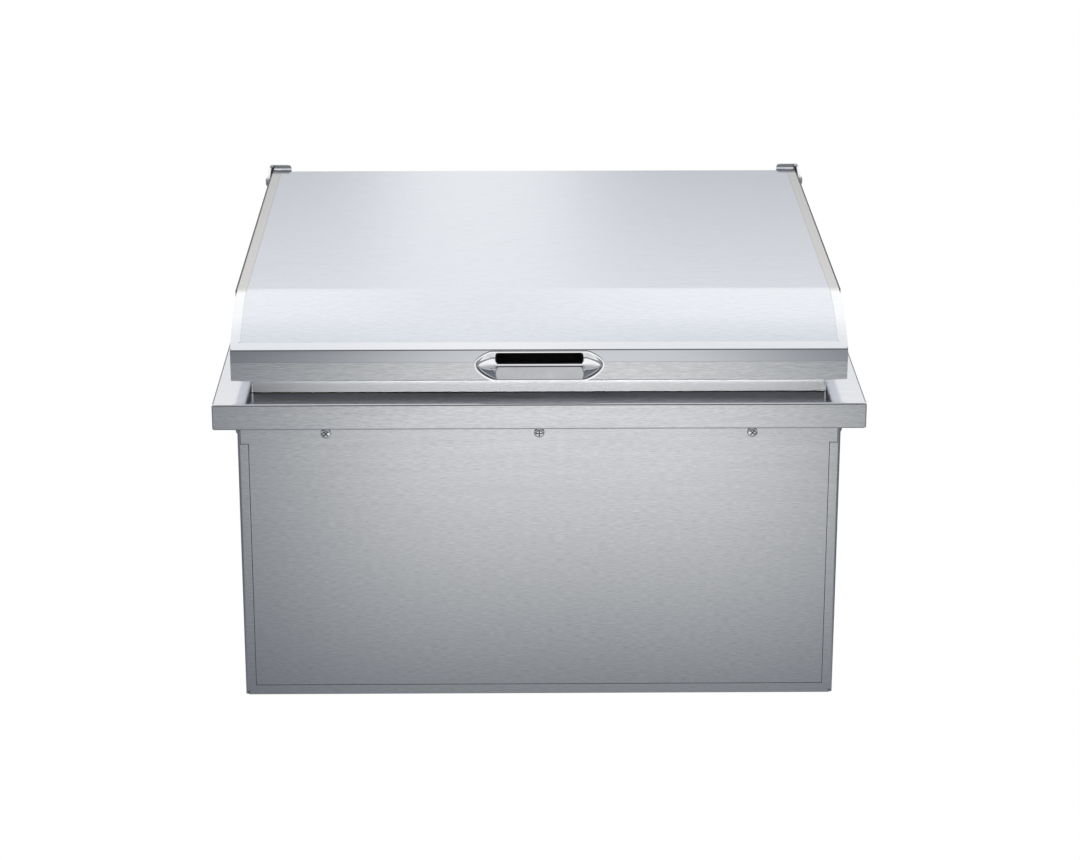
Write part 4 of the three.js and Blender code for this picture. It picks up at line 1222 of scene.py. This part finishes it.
def floor():
    """A pale floor, white to the camera. The steel sees a pool of light on it."""
    right = FLOOR_REACH
    left = -FLOOR_REACH
    plan = ((left, left), (right, left), (right, right), (left, right))
    plane = flat_sheet("floor", [(x, y, FLOOR_LEVEL) for x, y in plan])
    material, tree, shader = nodes_of("pale_floor")
    feed(tree, shader.inputs["Base Color"], FLOOR_COLOUR)
    shader.inputs["Roughness"].default_value = MATT
    geometry = tree.nodes.new("ShaderNodeNewGeometry")
    place = separated(tree, geometry.outputs["Position"])
    # What the steel sees on the floor is painted light: an emission with a pool, dim ground and
    # brighter ground around it.
    shine = emission(tree, brighter_around(tree, place, pool_colour(tree, place)))
    path = tree.nodes.new("ShaderNodeLightPath")
    lit = chosen(tree, path.outputs["Is Glossy Ray"], shader.outputs["BSDF"], shine)
    seen = chosen(tree, path.outputs["Is Camera Ray"], lit, emission(tree, WHITE))
    tree.links.new(seen, tree.nodes["Material Output"].inputs["Surface"])
    plane.data.materials.append(material)


def front_sky(tree, axes):
    """Grey ahead of the bin, darkest straight ahead of it."""
    side = [(height, [max(pair) for pair in zip(colour, SIDE_SKY)]) for height, colour in FRONT_SKY]
    ahead = falloff(tree, axes["X"], 0, FRONT_HALF_WIDTH)
    return mixed(tree, ahead, ramped(tree, axes["Z"], side), ramped(tree, axes["Z"], FRONT_SKY))


def rear_sky(tree, axes):
    """Grey near the horizon and white above it, with a narrow upright glow."""
    glow = falloff(tree, axes["X"], GLOW_X, GLOW_HALF_WIDTH)
    return mixed(tree, glow, ramped(tree, axes["Z"], REAR_SKY), GLOW)


def world():
    """A studio of front and rear skies, white to the camera."""
    sky = bpy.data.worlds.new("studio")
    bpy.context.scene.world = sky
    sky.use_nodes = True
    tree = sky.node_tree
    tree.nodes.clear()
    place = tree.nodes.new("ShaderNodeTexCoord")
    axes = separated(tree, place.outputs["Generated"])
    behind = rescaled(tree, axes["Y"], SKY_FROM, SKY_TO)
    colour = mixed(tree, behind, front_sky(tree, axes), rear_sky(tree, axes))
    path = tree.nodes.new("ShaderNodeLightPath")
    seen = mixed(tree, path.outputs["Is Camera Ray"], colour, WHITE)
    background = tree.nodes.new("ShaderNodeBackground")
    output = tree.nodes.new("ShaderNodeOutputWorld")
    tree.links.new(seen, background.inputs["Color"])
    tree.links.new(background.outputs["Background"], output.inputs["Surface"])


def dark_card():
    """A dark card ahead of the lid, seen by reflections alone. It darkens the rim under the band."""
    y = MIDDLE_Y - HALF_Y - CARD_AHEAD
    right = CARD_HALF_WIDTH
    left = -CARD_HALF_WIDTH
    outline = ((left, CARD_LOW), (right, CARD_LOW), (right, CARD_HIGH), (left, CARD_HIGH))
    card = flat_sheet("dark_card", [(x, y, z) for x, z in outline])
    material, tree, shader = nodes_of("card_black")
    feed(tree, shader.inputs["Base Color"], CARD_COLOUR)
    shader.inputs["Roughness"].default_value = MATT
    card.data.materials.append(material)
    card.visible_camera = False
    card.visible_diffuse = False
    card.visible_transmission = False
    card.visible_shadow = False


def collar_lamp(tub):
    """A soft strip lamp low in front, for the collar between rim and lid alone."""
    data = bpy.data.lights.new("collar_lamp", "AREA")
    data.shape = "ELLIPSE"
    data.size = LAMP_WIDTH
    data.size_y = LAMP_HEIGHT
    data.energy = LAMP_POWER
    lamp = placed("collar_lamp", data)
    toward = Vector((0, math.cos(LAMP_TILT), math.sin(LAMP_TILT)))
    collar = Vector((LAMP_X, MIDDLE_Y + COLLAR_INSET - HALF_Y, RIM_TOP + COLLAR_RISE / 4))
    lamp.location = collar - toward * LAMP_DISTANCE
    lamp.rotation_euler = (math.pi / 2 + LAMP_TILT, 0, 0)
    lamp.visible_camera = False
    lit = bpy.data.collections.new("collar_lit")
    lit.objects.link(tub)
    lamp.light_linking.receiver_collection = lit
    lamp.light_linking.blocker_collection = lit


def camera():
    """Head on from above, at the photograph's angle."""
    data = bpy.data.cameras.new("camera")
    data.sensor_width = SENSOR_WIDTH
    data.lens = CAMERA_LENS
    obj = placed("camera", data)
    obj.location = CAMERA_PLACE
    obj.rotation_euler = (math.pi / 2 - CAMERA_TILT, 0, -CAMERA_PAN)
    bpy.context.scene.camera = obj


camera()
world()
floor()
dark_card()
finishes()
trim_rim()
collar_lamp(liner())
side_panels()
bottom_tray()
face_panels()
drain()
panel_screws()
bracket_screws()
lid_skin()
front_band()
end_caps()
lid_gasket()
handle()
finger_cup()
brackets()

bpy.context.scene.view_settings.view_transform = "Standard"
